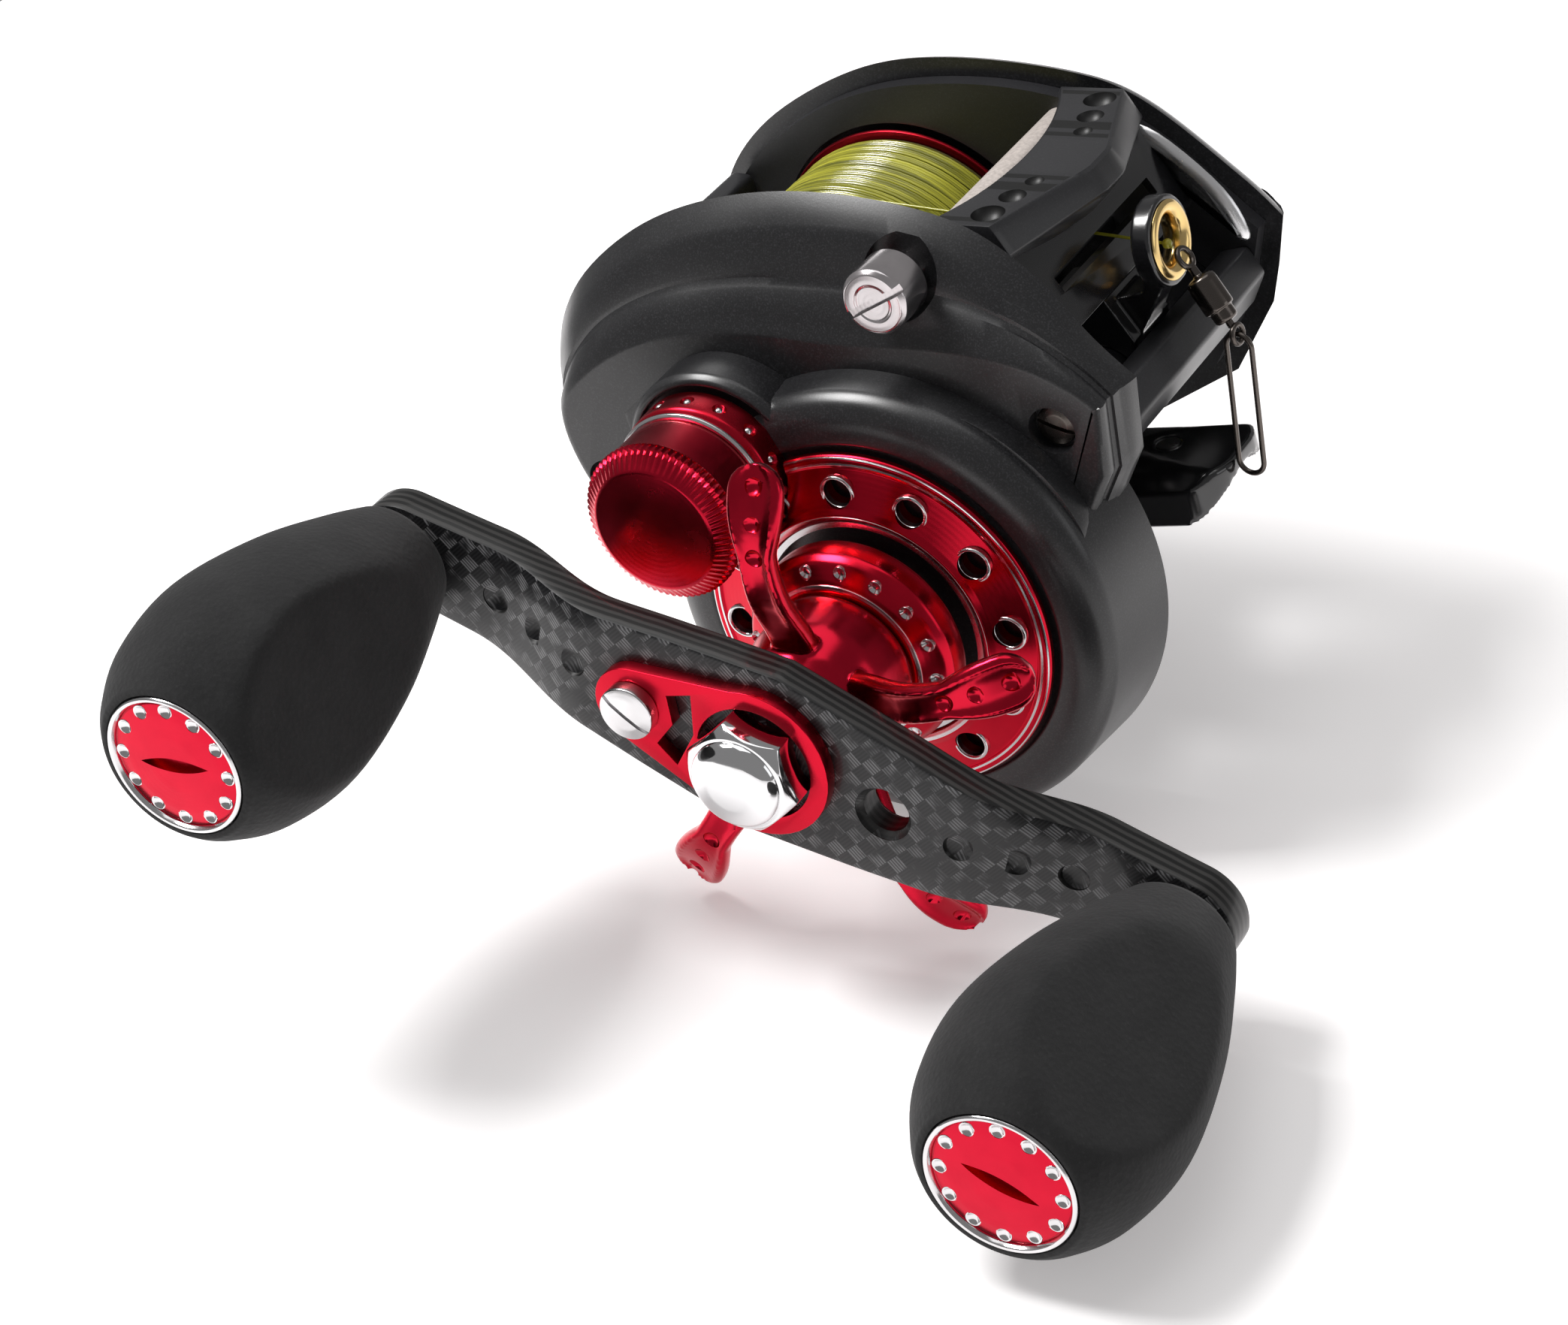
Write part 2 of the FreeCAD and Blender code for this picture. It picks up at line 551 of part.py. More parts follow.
def guide_carriage():
    """The carriage on the worm tube and the rail, with the arm up to the ring."""
    ring_x, ring_z = size("ring_x"), size("ring_z")
    body = prism([(12.2, 8.0), (21.6, 8.0), (22.2, 16.8), (20.0, 21.8), (12.2, 21.8)], -4.4, 8.8)
    arm = prism([(19.0, 16.8), (22.2, 16.8), (ring_x + 1.1, ring_z - 3.0), (ring_x + 1.1, ring_z),
                 (ring_x - 1.1, ring_z), (ring_x - 2.4, ring_z - 4.6), (18.0, 20.8)], -2.6, 5.2)
    hoop = rod(size("ring_r") + 1.2, 2.2, Vector(ring_x - 1.1, 0, ring_z), Vector(1, 0, 0))
    shape = body.fuse([arm, hoop])
    return shape.cut([worm_rod(TUBE_R + 2 * FIT, -10, 10), rail_rod(RAIL_R + 2 * FIT, -10, 10),
                      rod(size("ring_r") + 0.02, 9, Vector(ring_x - 4, 0, ring_z), Vector(1, 0, 0)),
                      rod(1.15, 3.8, Vector(size("worm_x"), 0, 7.0), Vector(0, 0, 1))])


node("guide_carriage", solid(guide_carriage()))


def guide_ring():
    """A flared insert ring."""
    start = Vector(size("ring_x") - 1.4, 0, size("ring_z"))
    ring = rod(size("ring_r"), 2.8, start, Vector(1, 0, 0)).cut(
        rod(size("ring_r") - 1.2, 9, start - Vector(2, 0, 0), Vector(1, 0, 0)))
    return ring


node("guide_ring", solid(guide_ring()))
node("guide_pawl", solid(rod(1.1, 2.9, Vector(size("worm_x"), 0, 7.1), Vector(0, 0, 1))))


def line_lead():
    """The taut line from the top of the spool through the ring to the swivel's eye."""
    ring = Vector(size("ring_x") + 0.6, 0, size("ring_z") - 0.4)
    leave = math.hypot(ring.x - SPOOL_X, ring.z - SPOOL_Z)
    clear = size("line_r") + 0.3 + size("line_d") / 2
    toward = math.atan2(SPOOL_Z - ring.z, SPOOL_X - ring.x) % (2 * math.pi)
    heading = toward - math.asin(clear / leave)
    run = math.sqrt(leave ** 2 - clear ** 2)
    start = ring + Vector(run * math.cos(heading), 0, run * math.sin(heading))
    spot = SWIVEL_TOP - (SWIVEL_TOP - ring).normalize() * 1.75
    back = rod(size("line_d") / 2, (ring - start).Length, start, ring - start)
    tail = rod(size("line_d") / 2, (spot - ring).Length, ring, spot - ring)
    knot = Part.makeSphere(0.55, ring)
    return back.fuse([tail, knot])


SWIVEL_TOP = Vector(28.6, -0.7, 24.4)
SWIVEL_DIR = Vector(0.44, -0.12, -0.89).normalize()
SNAP_TOP = SWIVEL_TOP + SWIVEL_DIR * 9.6
SNAP_END = Vector(30.3, -2.2, -0.3)
SNAP_SIDE = Vector(0.94, -0.10, 0.0)
node("line_lead", solid(line_lead()))

# ---------------------------------------------------------------- swivel and snap


def eye(centre, radius, wire, normal):
    return Part.makeTorus(radius, wire, centre, normal)


def swivel_barrel():
    """The upper eye and the barrel."""
    way, top = SWIVEL_DIR, SWIVEL_TOP
    side = way.cross(Vector(0, 1, 0))
    start = top + way * 1.35
    neck = rod(0.42, 1.4, start - way * 0.2, way)
    drum = Part.makeCone(1.1, 1.7, 1.2, start + way * 1.1, way)
    body = rod(1.7, 3.2, start + way * 2.3, way)
    tail = Part.makeCone(1.7, 1.1, 1.2, start + way * 5.5, way)
    shape = eye(top, 1.1, 0.32, side).fuse([neck, drum, body, tail])
    return shape.cut(rod(0.5, 2.6, start + way * 4.3, way))


def swivel_lower_eye():
    """The lower eye's loop with its stem in the barrel."""
    reach = 9.6 - 0.9
    stem = rod(0.44, reach - 5.95, SWIVEL_TOP + SWIVEL_DIR * 5.95, SWIVEL_DIR)
    return eye(SNAP_TOP, 1.0, 0.3, SNAP_SIDE).fuse(stem)


def snap_wire():
    """A long closed loop of wire hanging in the lower eye."""
    wire, bend = 0.3, 1.5
    way = (SNAP_END - SNAP_TOP).normalize()
    across = way.cross(SNAP_SIDE).normalize()
    side = across.cross(way).normalize()
    length = (SNAP_END - SNAP_TOP).Length
    loop = [rod(wire, length - 2 * bend, SNAP_TOP + way * bend + side * bend * sign, way)
            for sign in (-1, 1)]
    for centre, open_way in ((SNAP_TOP + way * bend, way * -1), (SNAP_TOP + way * (length - bend), way)):
        half = Part.makeBox(8, 8, 4)
        half.Placement = Placement(centre, Rotation(side, across, open_way, "ZXY"))
        half.translate(side * -4 + across * -4)
        loop.append(Part.makeTorus(bend, wire, centre, across).common(half))
    return loop[0].fuse(loop[1:])


node("swivel_barrel", solid(swivel_barrel()))
node("swivel_lower_eye", solid(swivel_lower_eye()))
node("line_snap", solid(snap_wire()))

# ---------------------------------------------------------------- spool


def spool():
    """Hub and two flanges."""
    width = 0.8
    edge = INSIDE - 0.4
    hub = spool_rod(size("hub_r"), -edge, edge)
    flanges = [spool_rod(size("flange_r"), y, y + width) for y in (-edge, edge - width)]
    hollow = spool_rod(size("hub_r") - 1.2, -edge + 2.5, edge - 2.5)
    bore = spool_rod(size("arbor_r") + 0.01, -20, 20)
    return hub.fuse(flanges).cut([hollow, bore])


node("spool", solid(spool()))
node("spool_shaft", solid(spool_rod(size("arbor_r"), BOSS_Y + 0.9, 21.7)))
node("line_pack", tube("line_r", "hub_r + 0.02", "2 * inside - 2.5", AT_SPOOL, "1.25 - inside"))


def brake_block(angle):
    x, z = on_arm(7.0, angle, (SPOOL_X, SPOOL_Z))
    x_way, z_way = on_arm(1.0, angle)
    return rod(1.1, 5.0, Vector(x, INSIDE + 1.2, z), Vector(x_way, 0, z_way))


def brake_hub():
    return spool_rod(7.0, INSIDE - 0.4 + 0.01, INSIDE + 2.2).cut(spool_rod(1.51, 0, 30))


node("brake_hub", solid(brake_hub()))
node("brake_blocks", group(*[solid(brake_block(90 * k + 20).cut(spool_rod(7.02, 0, 30))) for k in range(4)]))

# ---------------------------------------------------------------- tension cap and thumb screw


def knurled(radius, y_from, y_to, at, ridges, depth):
    """A drum with straight knurls."""
    points = []
    for i in range(2 * ridges):
        points.append(on_arm(radius - depth * (i % 2), 180 * i / ridges, at))
    return prism(points, y_from, y_to - y_from)


TENSION_Y, TENSION_R = size("tension_y"), size("tension_r")
BASE_Y = BOSS_Y + 0.3


def tension_cap():
    drum = knurled(TENSION_R, TENSION_Y + 1.2, -36.0, (SPOOL_X, SPOOL_Z), 60, 0.25)
    face = Part.makeCone(TENSION_R - 0.9, TENSION_R - 0.25, 1.2, Vector(SPOOL_X, TENSION_Y, SPOOL_Z),
                         Vector(0, 1, 0))
    return drum.fuse(face)


node("tension_cap", solid(tension_cap()))
node("tension_ring", cylinder("tension_r + 0.1", "0.6", AT_SPOOL, "-35.97"))
node("tension_base", cylinder("tension_r + 0.3", "4.2", AT_SPOOL, "-35.34"))


def thumb_screw():
    """A knurled screw with a coin slot."""
    x, y, z = THUMB_SCREW
    head = knurled(3.7, y - 1.9, y + 1.7, (x, z), 32, 0.2)
    slot = Part.makeBox(12, 1.0, 0.9, Vector(x - 6, y - 1.91, z - 0.45))
    shank = rod(THUMB_SHANK_R, 8.2, Vector(x, y + 1.7, z), Vector(0, 1, 0))
    return head.cut(slot).fuse(shank)


node("thumb_screw", solid(thumb_screw()))

# ---------------------------------------------------------------- drive shaft, drag and star


def drive_shaft():
    """The shaft, its flange, and the flats that carry the handle."""
    shaft = drive_rod(size("shaft_r"), size("shaft_end"), -INSIDE)
    flange = drive_rod(9.0, -20.9, -20.7)
    stud = drive_rod(2.4, -63.6, size("shaft_end"))
    return shaft.fuse([flange, stud])


node("drive_shaft", solid(drive_shaft()))
node("drag_washers", group(*[tube("13.0", "shaft_r + 0.01", "0.6", AT_DRIVE, f"drive_gear_y - {0.65 + k * 0.9}")
                             for k in range(2)]))
node("pressure_plate", tube("11.6", "shaft_r + 0.01", "0.8", AT_DRIVE, "drive_gear_y - 2.4"))

STAR_Y = size("star_y")


def star_arm(angle):
    """One finger: it bows outward from the hub, then curls back to the reel at its rounded tip."""
    reach, thick = size("star_reach"), 2.6
    bow = [(5.0, -47.2), (9.0, -49.4), (14.0, -52.2), (18.0, -53.2), (21.0, -53.1), (25.0, -52.0),
           (reach, -50.4)]
    side = [(r, y) for r, y in bow] + [(r, y + thick) for r, y in reversed(bow)]
    strip = slab(side, -6, 12)
    plan = prism([(4.0, -2.7), (12.0, -2.3), (20.0, -2.0), (reach - 3.1, -3.1), (reach - 3.1, 3.1),
                  (20.0, 2.0), (12.0, 2.3), (4.0, 2.7)], -56, 12)
    plan = plan.fuse(rod(3.1, 12, Vector(reach - 3.1, -56, 0), Vector(0, 1, 0)))
    arm = strip.common(plan)
    arm.rotate(Vector(), Vector(0, 1, 0), -angle)
    return arm


def star_drag():
    """The domed hub and five fingers, threaded on the drive shaft."""
    hub = drive_rod(8.6, -46.0, -40.6)
    dome = Part.makeCone(5.0, 8.6, 7.0, Vector(0, -53.0, 0), Vector(0, 1, 0))
    count = int(size("star_arms"))
    arms = [star_arm(size("star_phase") + 360 * k / count) for k in range(count)]
    shape = hub.fuse([dome] + arms)
    return shape.cut(drive_rod(size("shaft_r") + FIT, -60, -30))


node("star_drag", solid(star_drag()))
node("star_collar", tube("collar_r", "shaft_r + fit", "5.6", AT_DRIVE, "-40.57"))

# ---------------------------------------------------------------- handle

CRANK = size("crank_angle")
SWEEP_FROM, SWEEP_RUN = 19.5, 16.0
KNOB_REACH, ARM_Y = size("knob_reach"), size("arm_y")


def turned_to_crank(shape):
    """Moves a shape from the straight handle to the handle's rest angle."""
    shape.rotate(Vector(), Vector(0, 1, 0), CRANK)
    return shape


def handle_arm():
    """The swept, S-shaped laminate arm with a big hole at the front."""
    thick, sweep = size("arm_t"), size("arm_sweep")
    hub, end = size("arm_hub_r"), size("arm_end_r")
    half = KNOB_REACH + end

    def edge(offset):
        """The arm's side line: flat at the hub, then an ease to the swept ends."""
        points = []
        for step in range(-18, 19):
            x = half * step / 18
            ease = min(1.0, max(0.0, (abs(x) - SWEEP_FROM) / SWEEP_RUN))
            points.append(Vector(x, ARM_Y + offset + sweep * (0.5 - 0.5 * math.cos(math.pi * ease)), 0))
        return Part.makePolygon(points)

    front, back = edge(0), edge(thick)
    ends = [Part.makeLine(front.Vertexes[i].Point, back.Vertexes[i].Point) for i in (0, -1)]
    strip = Part.Face(Part.Wire(Part.sortEdges(front.Edges + back.Edges + ends)[0]))
    strip.translate(Vector(0, 0, -20))
    body = strip.extrude(Vector(0, 0, 40))
    plan = Part.BSplineCurve()
    plan.interpolate([Vector(-KNOB_REACH, 0, end), Vector(-24, 0, 6.8), Vector(-12, 0, 8.6),
                      Vector(0, 0, hub), Vector(12, 0, 8.6), Vector(24, 0, 6.8), Vector(KNOB_REACH, 0, end)])
    low = plan.copy()
    low.rotate(Placement(Vector(), Rotation(Vector(1, 0, 0), 180)))
    caps = [Part.Arc(Vector(s * KNOB_REACH, 0, end), Vector(s * half, 0, 0), Vector(s * KNOB_REACH, 0, -end))
            for s in (-1, 1)]
    edges = [plan.toShape(), low.toShape()] + [c.toShape() for c in caps]
    shape = Part.Face(Part.Wire(Part.sortEdges(edges)[0]))
    shape.translate(Vector(0, -70, 0))
    arm = body.common(shape.extrude(Vector(0, 30, 0)))
    holes = [drive_rod(2.4 + 0.01, -70, -40), rod(2.5, 20, Vector(13.9, -65, 0), Vector(0, 1, 0))]
    holes += [rod(size("spindle_r") + 0.01, 20, Vector(s * KNOB_REACH, -65, 0), Vector(0, 1, 0)) for s in (-1, 1)]
    return turned_to_crank(arm.cut(holes))


node("handle_arm", solid(handle_arm()))


def nut_keeper():
    """A teardrop plate round the nut, with its screw's eye and a window between."""
    thick = 1.6
    y = ARM_Y - 0.02 - thick
    plate = prism([(0, -8.4), (0, 8.4), (-13.9, 4.4), (-13.9, -4.4)], y, thick)
    ends = [rod(8.4, thick, Vector(0, y, 0), Vector(0, 1, 0)), rod(4.4, thick, Vector(-13.9, y, 0), Vector(0, 1, 0))]
    window = prism([(-8.4, -3.6), (-10.0, -3.0), (-8.8, 0), (-10.0, 3.0), (-8.4, 3.6), (-7.3, 0)], y - 1, 4)
    holes = [rod(6.45, 4, Vector(0, y - 1, 0), Vector(0, 1, 0)), rod(1.6, 4, Vector(-13.9, y - 1, 0), Vector(0, 1, 0))]
    return turned_to_crank(plate.fuse(ends).cut(holes + [window]))


def handle_nut():
    """A hexagon nut with a closed dome."""
    flat = size("nut_flats")
    corner = flat / math.sqrt(3)
    hexagon = prism([on_arm(corner, 60 * k) for k in range(6)], ARM_Y - 0.02 - size("nut_h"), size("nut_h"))
    trim = Part.makeCone(corner - 1.4, corner + 1.6, 3.0, Vector(0, ARM_Y - 0.02 - size("nut_h"), 0), Vector(0, 1, 0))
    rest = drive_rod(corner + 1.6, ARM_Y + 2.98 - size("nut_h"), ARM_Y)
    dome = drive_rod(4.9, ARM_Y - 7.0, ARM_Y - size("nut_h") + 0.5)
    return turned_to_crank(hexagon.common(trim.fuse(rest)).fuse(dome).cut(drive_rod(2.41, -63.7, -50)))


def keeper_screw():
    head = rod(3.0, 1.8, Vector(-13.9, ARM_Y - 3.6, 0), Vector(0, 1, 0))
    shank = rod(1.5, 1.75, Vector(-13.9, ARM_Y - 1.8, 0), Vector(0, 1, 0))
    slot = Part.makeBox(8, 0.8, 0.7, Vector(-17.9, ARM_Y - 3.61, -0.35))
    return turned_to_crank(head.cut(slot).fuse(shank))


node("nut_keeper", solid(nut_keeper()))
node("handle_nut", solid(handle_nut()))
node("keeper_screw", solid(keeper_screw()))

ARM_END_Y = ARM_Y + size("arm_sweep")
GRIP_Y = ARM_END_Y - 1.3
GRIP_END = GRIP_Y - size("grip_len")


def spindle(sign):
    """A knob spindle: a head behind the arm, a thrust washer, a bearing rod and its end head."""
    x = sign * KNOB_REACH
    head = rod(3.4, 0.9, Vector(x, ARM_END_Y + size("arm_t") + 0.01, 0), Vector(0, 1, 0))
    bar = rod(size("spindle_r"), size("grip_len") - 3.2, Vector(x, GRIP_Y - size("grip_len") + 9, 0), Vector(0, 1, 0))
    washer = rod(4.6, 0.8, Vector(x, ARM_END_Y - 0.85, 0), Vector(0, 1, 0))
    return turned_to_crank(head.fuse([bar, washer]))


node("knob_spindles", group(*[solid(spindle(s)) for s in (1, -1)]))


FLAT_TURN = {1: 37.0, -1: 2.0}          # where each grip's flats face at rest


def flats(sign, x):
    """What two planes cut off a grip's sides."""
    cutters = []
    for turn in (0, 180):
        slab_out = Part.makeBox(12, 60, 40, Vector(size("facet_reach"), GRIP_END - 10, -20))
        slab_out.rotate(Vector(), Vector(0, 1, 0), -(FLAT_TURN[sign] + CRANK + turn))
        slab_out.translate(Vector(x, 0, 0))
        cutters.append(slab_out)
    return cutters


def knob_grip(sign):
    """An egg-shaped grip with two flats, hollow for its bushes and its end cap."""
    x = sign * KNOB_REACH
    length, widest = size("grip_len"), size("grip_r")
    outline_points = [(0.0, 6.4), (0.14, 8.6), (0.36, 11.4), (0.62, widest), (0.82, widest * 0.93),
                      (0.94, widest * 0.77), (0.985, size("cap_r") + 0.9)]
    curve = Part.BSplineCurve()
    curve.interpolate([Vector(x + r, GRIP_Y - length * t, 0) for t, r in outline_points])
    last = outline_points[-1]
    y_end = GRIP_Y - length * last[0]
    lines = [Vector(x + last[1], y_end, 0), Vector(x, y_end, 0), Vector(x, GRIP_Y, 0), Vector(x + 6.4, GRIP_Y, 0)]
    edges = [curve.toShape()] + [Part.makeLine(a, b) for a, b in zip(lines, lines[1:])]
    body = Part.Face(Part.Wire(Part.sortEdges(edges)[0])).revolve(Vector(x, 0, 0), Vector(0, 1, 0), 360)
    bore = rod(4.0, length, Vector(x, GRIP_END, 0), Vector(0, 1, 0))
    cup = rod(size("cap_r") + 0.05, 3.2, Vector(x, GRIP_END - 0.1, 0), Vector(0, 1, 0))
    return turned_to_crank(body.cut([bore, cup] + flats(sign, x)))


def knob_cap(sign):
    """The end cap: a chamfered disc with a coin slot and a ring of dimples."""
    x = sign * KNOB_REACH
    y = GRIP_END
    disc = rod(size("cap_r"), 2.6, Vector(x, y + 0.4, 0), Vector(0, 1, 0))
    face = Part.makeCone(size("cap_r") - 0.5, size("cap_r"), 0.4, Vector(x, y, 0), Vector(0, 1, 0))
    plug = rod(3.95, 3.0, Vector(x, y + 3.0, 0), Vector(0, 1, 0))
    slot = Part.makeBox(9, 0.8, 0.9, Vector(x - 4.5, y - 0.01, -0.45))
    dots = []
    for k in range(12):
        dx, dz = on_arm(size("cap_r") - 1.5, 30 * k + 15)
        dots.append(Part.makeSphere(0.62, Vector(x + dx, y - 0.15, dz)))
    return turned_to_crank(disc.fuse([face, plug]).cut([slot] + dots))


def knob_bushes(sign):
    x = sign * KNOB_REACH
    rings = []
    for y in (GRIP_Y - 3.0, GRIP_Y - 26.0):
        ring = rod(3.95, 2.6, Vector(x, y, 0), Vector(0, 1, 0)).cut(
            rod(size("spindle_r") + FIT, 4, Vector(x, y - 0.5, 0), Vector(0, 1, 0)))
        rings.append(solid(turned_to_crank(ring)))
    return group(*rings)


for side_name, side_sign in (("front", 1), ("rear", -1)):
    node(f"{side_name}_knob_grip", solid(knob_grip(side_sign)))
    node(f"{side_name}_knob_cap", solid(knob_cap(side_sign)))
    node(f"{side_name}_knob_bushes", knob_bushes(side_sign))

# ---------------------------------------------------------------- thumb bar


def thumb_bar():
    """The clutch bar behind the spool, between the plates."""
    half = INSIDE - 0.35
    side = [(-37.6, 20.0), (-38.4, 26.0), (-35.6, 31.2), (-33.0, 30.6), (-33.2, 28.0), (-35.0, 26.0),
            (-35.4, 20.0)]
    return prism(side, -half, 2 * half)


node("thumb_bar", solid(thumb_bar()))

# ---------------------------------------------------------------- check and export

doc.recompute()
os.makedirs("parts", exist_ok=True)
for item in doc.Objects:
    if "Invalid" in item.State or "Error" in item.State:
        raise RuntimeError(f"{item.Label} failed: {item.State}")
for label, item in nodes.items():
    shape = item.Shape
    if shape.isNull() or not shape.isValid() or not shape.Solids:
        raise RuntimeError(f"{label} has no valid shape")
    shape.exportStep(f"parts/{label}.step")
print(len(nodes), "sub-parts written")
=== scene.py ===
"""Looks for the baitcasting reel: softened parts, procedural materials, a pale floor and studio light.

Sizes are in millimetres in the row frame and become metres when a mesh is made.
"""
import json
import math
import random

import bmesh
import bpy
from mathutils import Matrix, Vector


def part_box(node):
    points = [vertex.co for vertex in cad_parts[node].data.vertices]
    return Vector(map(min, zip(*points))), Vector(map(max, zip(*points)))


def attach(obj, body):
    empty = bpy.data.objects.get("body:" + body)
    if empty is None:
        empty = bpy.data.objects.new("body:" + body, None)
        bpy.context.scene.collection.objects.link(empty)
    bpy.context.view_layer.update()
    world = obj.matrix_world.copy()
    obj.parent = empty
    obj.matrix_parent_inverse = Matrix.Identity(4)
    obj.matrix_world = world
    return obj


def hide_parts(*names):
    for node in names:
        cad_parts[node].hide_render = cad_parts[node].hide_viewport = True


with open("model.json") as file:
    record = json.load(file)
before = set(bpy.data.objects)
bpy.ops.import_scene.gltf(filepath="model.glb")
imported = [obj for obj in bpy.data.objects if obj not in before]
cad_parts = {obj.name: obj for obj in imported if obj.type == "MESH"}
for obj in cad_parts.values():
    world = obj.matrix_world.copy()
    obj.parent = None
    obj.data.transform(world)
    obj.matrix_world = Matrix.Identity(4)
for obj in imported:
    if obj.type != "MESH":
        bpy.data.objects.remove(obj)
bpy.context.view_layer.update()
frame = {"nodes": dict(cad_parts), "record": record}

MM = 0.001
random.seed(7)

DRIVE = (0.0, 0.0)
SPOOL = (-14.745, 18.138)
CRANK = math.radians(29.3)
KNOB_REACH = 45.0
ARM_Y, ARM_THICK, ARM_SWEEP, ARM_END = -58.2, 4.0, 3.9, 5.6
NUT_SIZE = 11.0
KEEPER_R, KEEPER_TAIL_R, KEEPER_REACH = 8.4, 4.4, 13.9
GRIP_Y, GRIP_LENGTH = -55.6, 39.6


# ---------------- materials


class Look:
    """One Principled material and the small graph that drives it."""

    def __init__(self, name, colour, metallic=0.0, roughness=0.5, **extra):
        self.material = bpy.data.materials.new(name)
        self.material.use_nodes = True
        self.tree = self.material.node_tree
        self.shader = next(n for n in self.tree.nodes if n.type == "BSDF_PRINCIPLED")
        self.set("Base Color", (*colour, 1))
        self.set("Metallic", metallic)
        self.set("Roughness", roughness)
        for key, value in extra.items():
            self.set(key.replace("_", " "), value)

    def set(self, socket, value):
        self.shader.inputs[socket].default_value = value

    def add(self, kind, **values):
        node = self.tree.nodes.new(kind)
        for key, value in values.items():
            if key in node.inputs:
                node.inputs[key].default_value = value
            else:
                setattr(node, key, value)
        return node

    def link(self, source, target):
        self.tree.links.new(source, target)

    def drive(self, socket, value):
        """Links a value to a socket of the shader."""
        self.link(value, self.shader.inputs[socket])

    def vector(self, operation, source, values):
        """A vector changed by a fixed one."""
        node = self.add("ShaderNodeVectorMath", operation=operation)
        node.inputs[1].default_value = values
        self.link(source, node.inputs[0])
        return node.outputs["Vector"]

    def where(self, shift=(0, 0, 0), turn=0.0):
        """Object coordinates about a point in millimetres, turned about Y."""
        coordinates = self.add("ShaderNodeTexCoord")
        centred = self.vector("SUBTRACT", coordinates.outputs["Object"], [v * MM for v in shift])
        rotate = self.add("ShaderNodeVectorRotate", rotation_type="Y_AXIS", Angle=turn)
        self.link(centred, rotate.inputs["Vector"])
        return rotate.outputs["Vector"]

    def noise(self, at, scale, detail=4.0, roughness=0.55):
        node = self.add("ShaderNodeTexNoise", Scale=scale, Detail=detail, Roughness=roughness)
        self.link(at, node.inputs["Vector"])
        return node.outputs["Fac"]

    def waves(self, at, scale, kind="RINGS", direction="Y", distortion=0.0):
        node = self.add("ShaderNodeTexWave", wave_type=kind, Scale=scale, Distortion=distortion, Detail=2.0)
        setattr(node, "rings_direction" if kind == "RINGS" else "bands_direction", direction)
        self.link(at, node.inputs["Vector"])
        return node.outputs["Fac"]

    def span(self, value, low, high, start=0.3, end=0.7):
        """Maps a value from start..end onto low..high."""
        node = self.add("ShaderNodeMapRange")
        for key, number in (("From Min", start), ("From Max", end), ("To Min", low), ("To Max", high)):
            node.inputs[key].default_value = number
        self.link(value, node.inputs["Value"])
        return node.outputs["Result"]

    def tint(self, value, dark, light, start=0.35, end=0.65):
        """Colours from a value."""
        node = self.add("ShaderNodeValToRGB")
        node.color_ramp.elements[0].position, node.color_ramp.elements[1].position = start, end
        node.color_ramp.elements[0].color = (*dark, 1)
        node.color_ramp.elements[1].color = (*light, 1)
        self.link(value, node.inputs["Fac"])
        return node.outputs["Color"]

    def mix(self, share, first, second):
        node = self.add("ShaderNodeMix", data_type="RGBA")
        self.link(share, node.inputs["Factor"])
        for socket, value in zip([s for s in node.inputs if s.type == "RGBA"], (first, second)):
            if isinstance(value, tuple):
                socket.default_value = (*value, 1)
            else:
                self.link(value, socket)
        return next(s for s in node.outputs if s.type == "RGBA")

    def bump(self, height, strength, depth_mm):
        node = self.add("ShaderNodeBump", Strength=strength, Distance=depth_mm * MM)
        self.link(height, node.inputs["Height"])
        if self.shader.inputs["Normal"].is_linked:
            self.link(self.shader.inputs["Normal"].links[0].from_socket, node.inputs["Normal"])
        self.link(node.outputs["Normal"], self.shader.inputs["Normal"])


def painted(name, colour, roughness, flake=0.25, coat=0.25):
    """Sprayed paint: a fine grain in tone, gloss and height."""
    look = Look(name, colour, roughness=roughness, Coat_Weight=coat, Coat_Roughness=roughness * 0.7)
    at = look.where()
    grain = look.noise(at, 5200, 2.0)
    cloud = look.noise(at, 90, 3.0)
    light = tuple(c * (1 + 2.2 * flake) + 0.004 * flake for c in colour)
    look.drive("Base Color", look.tint(grain, colour, light, 0.5, 0.75))
    look.drive("Roughness", look.span(cloud, roughness - 0.04, roughness + 0.05))
    look.bump(grain, 0.25, 0.02)
    return look.material


def turned(name, colour, roughness, axis=DRIVE, pitch=60.0, strength=0.16, cloud=0.10):
    """Metal off a lathe: rings about an axis along Y, with a little wear."""
    look = Look(name, colour, metallic=1.0, roughness=roughness)
    at = look.where((axis[0], 0, axis[1]))
    rings = look.waves(at, pitch * 9, distortion=0.4)
    wear = look.noise(at, 260, 5.0)
    dark = tuple(c * (1 - cloud) for c in colour)
    look.drive("Base Color", look.tint(wear, dark, colour))
    look.drive("Roughness", look.span(wear, roughness - 0.03, roughness + 0.05))
    look.bump(rings, strength, 0.012)
    return look.material


def polished(name, colour, roughness):
    """Plated metal with faint hairlines."""
    look = Look(name, colour, metallic=1.0, roughness=roughness)
    at = look.where()
    smear = look.noise(at, 140, 6.0)
    look.drive("Roughness", look.span(smear, roughness * 0.8, roughness * 1.6))
    look.bump(look.noise(at, 3200, 2.0), 0.05, 0.01)
    return look.material


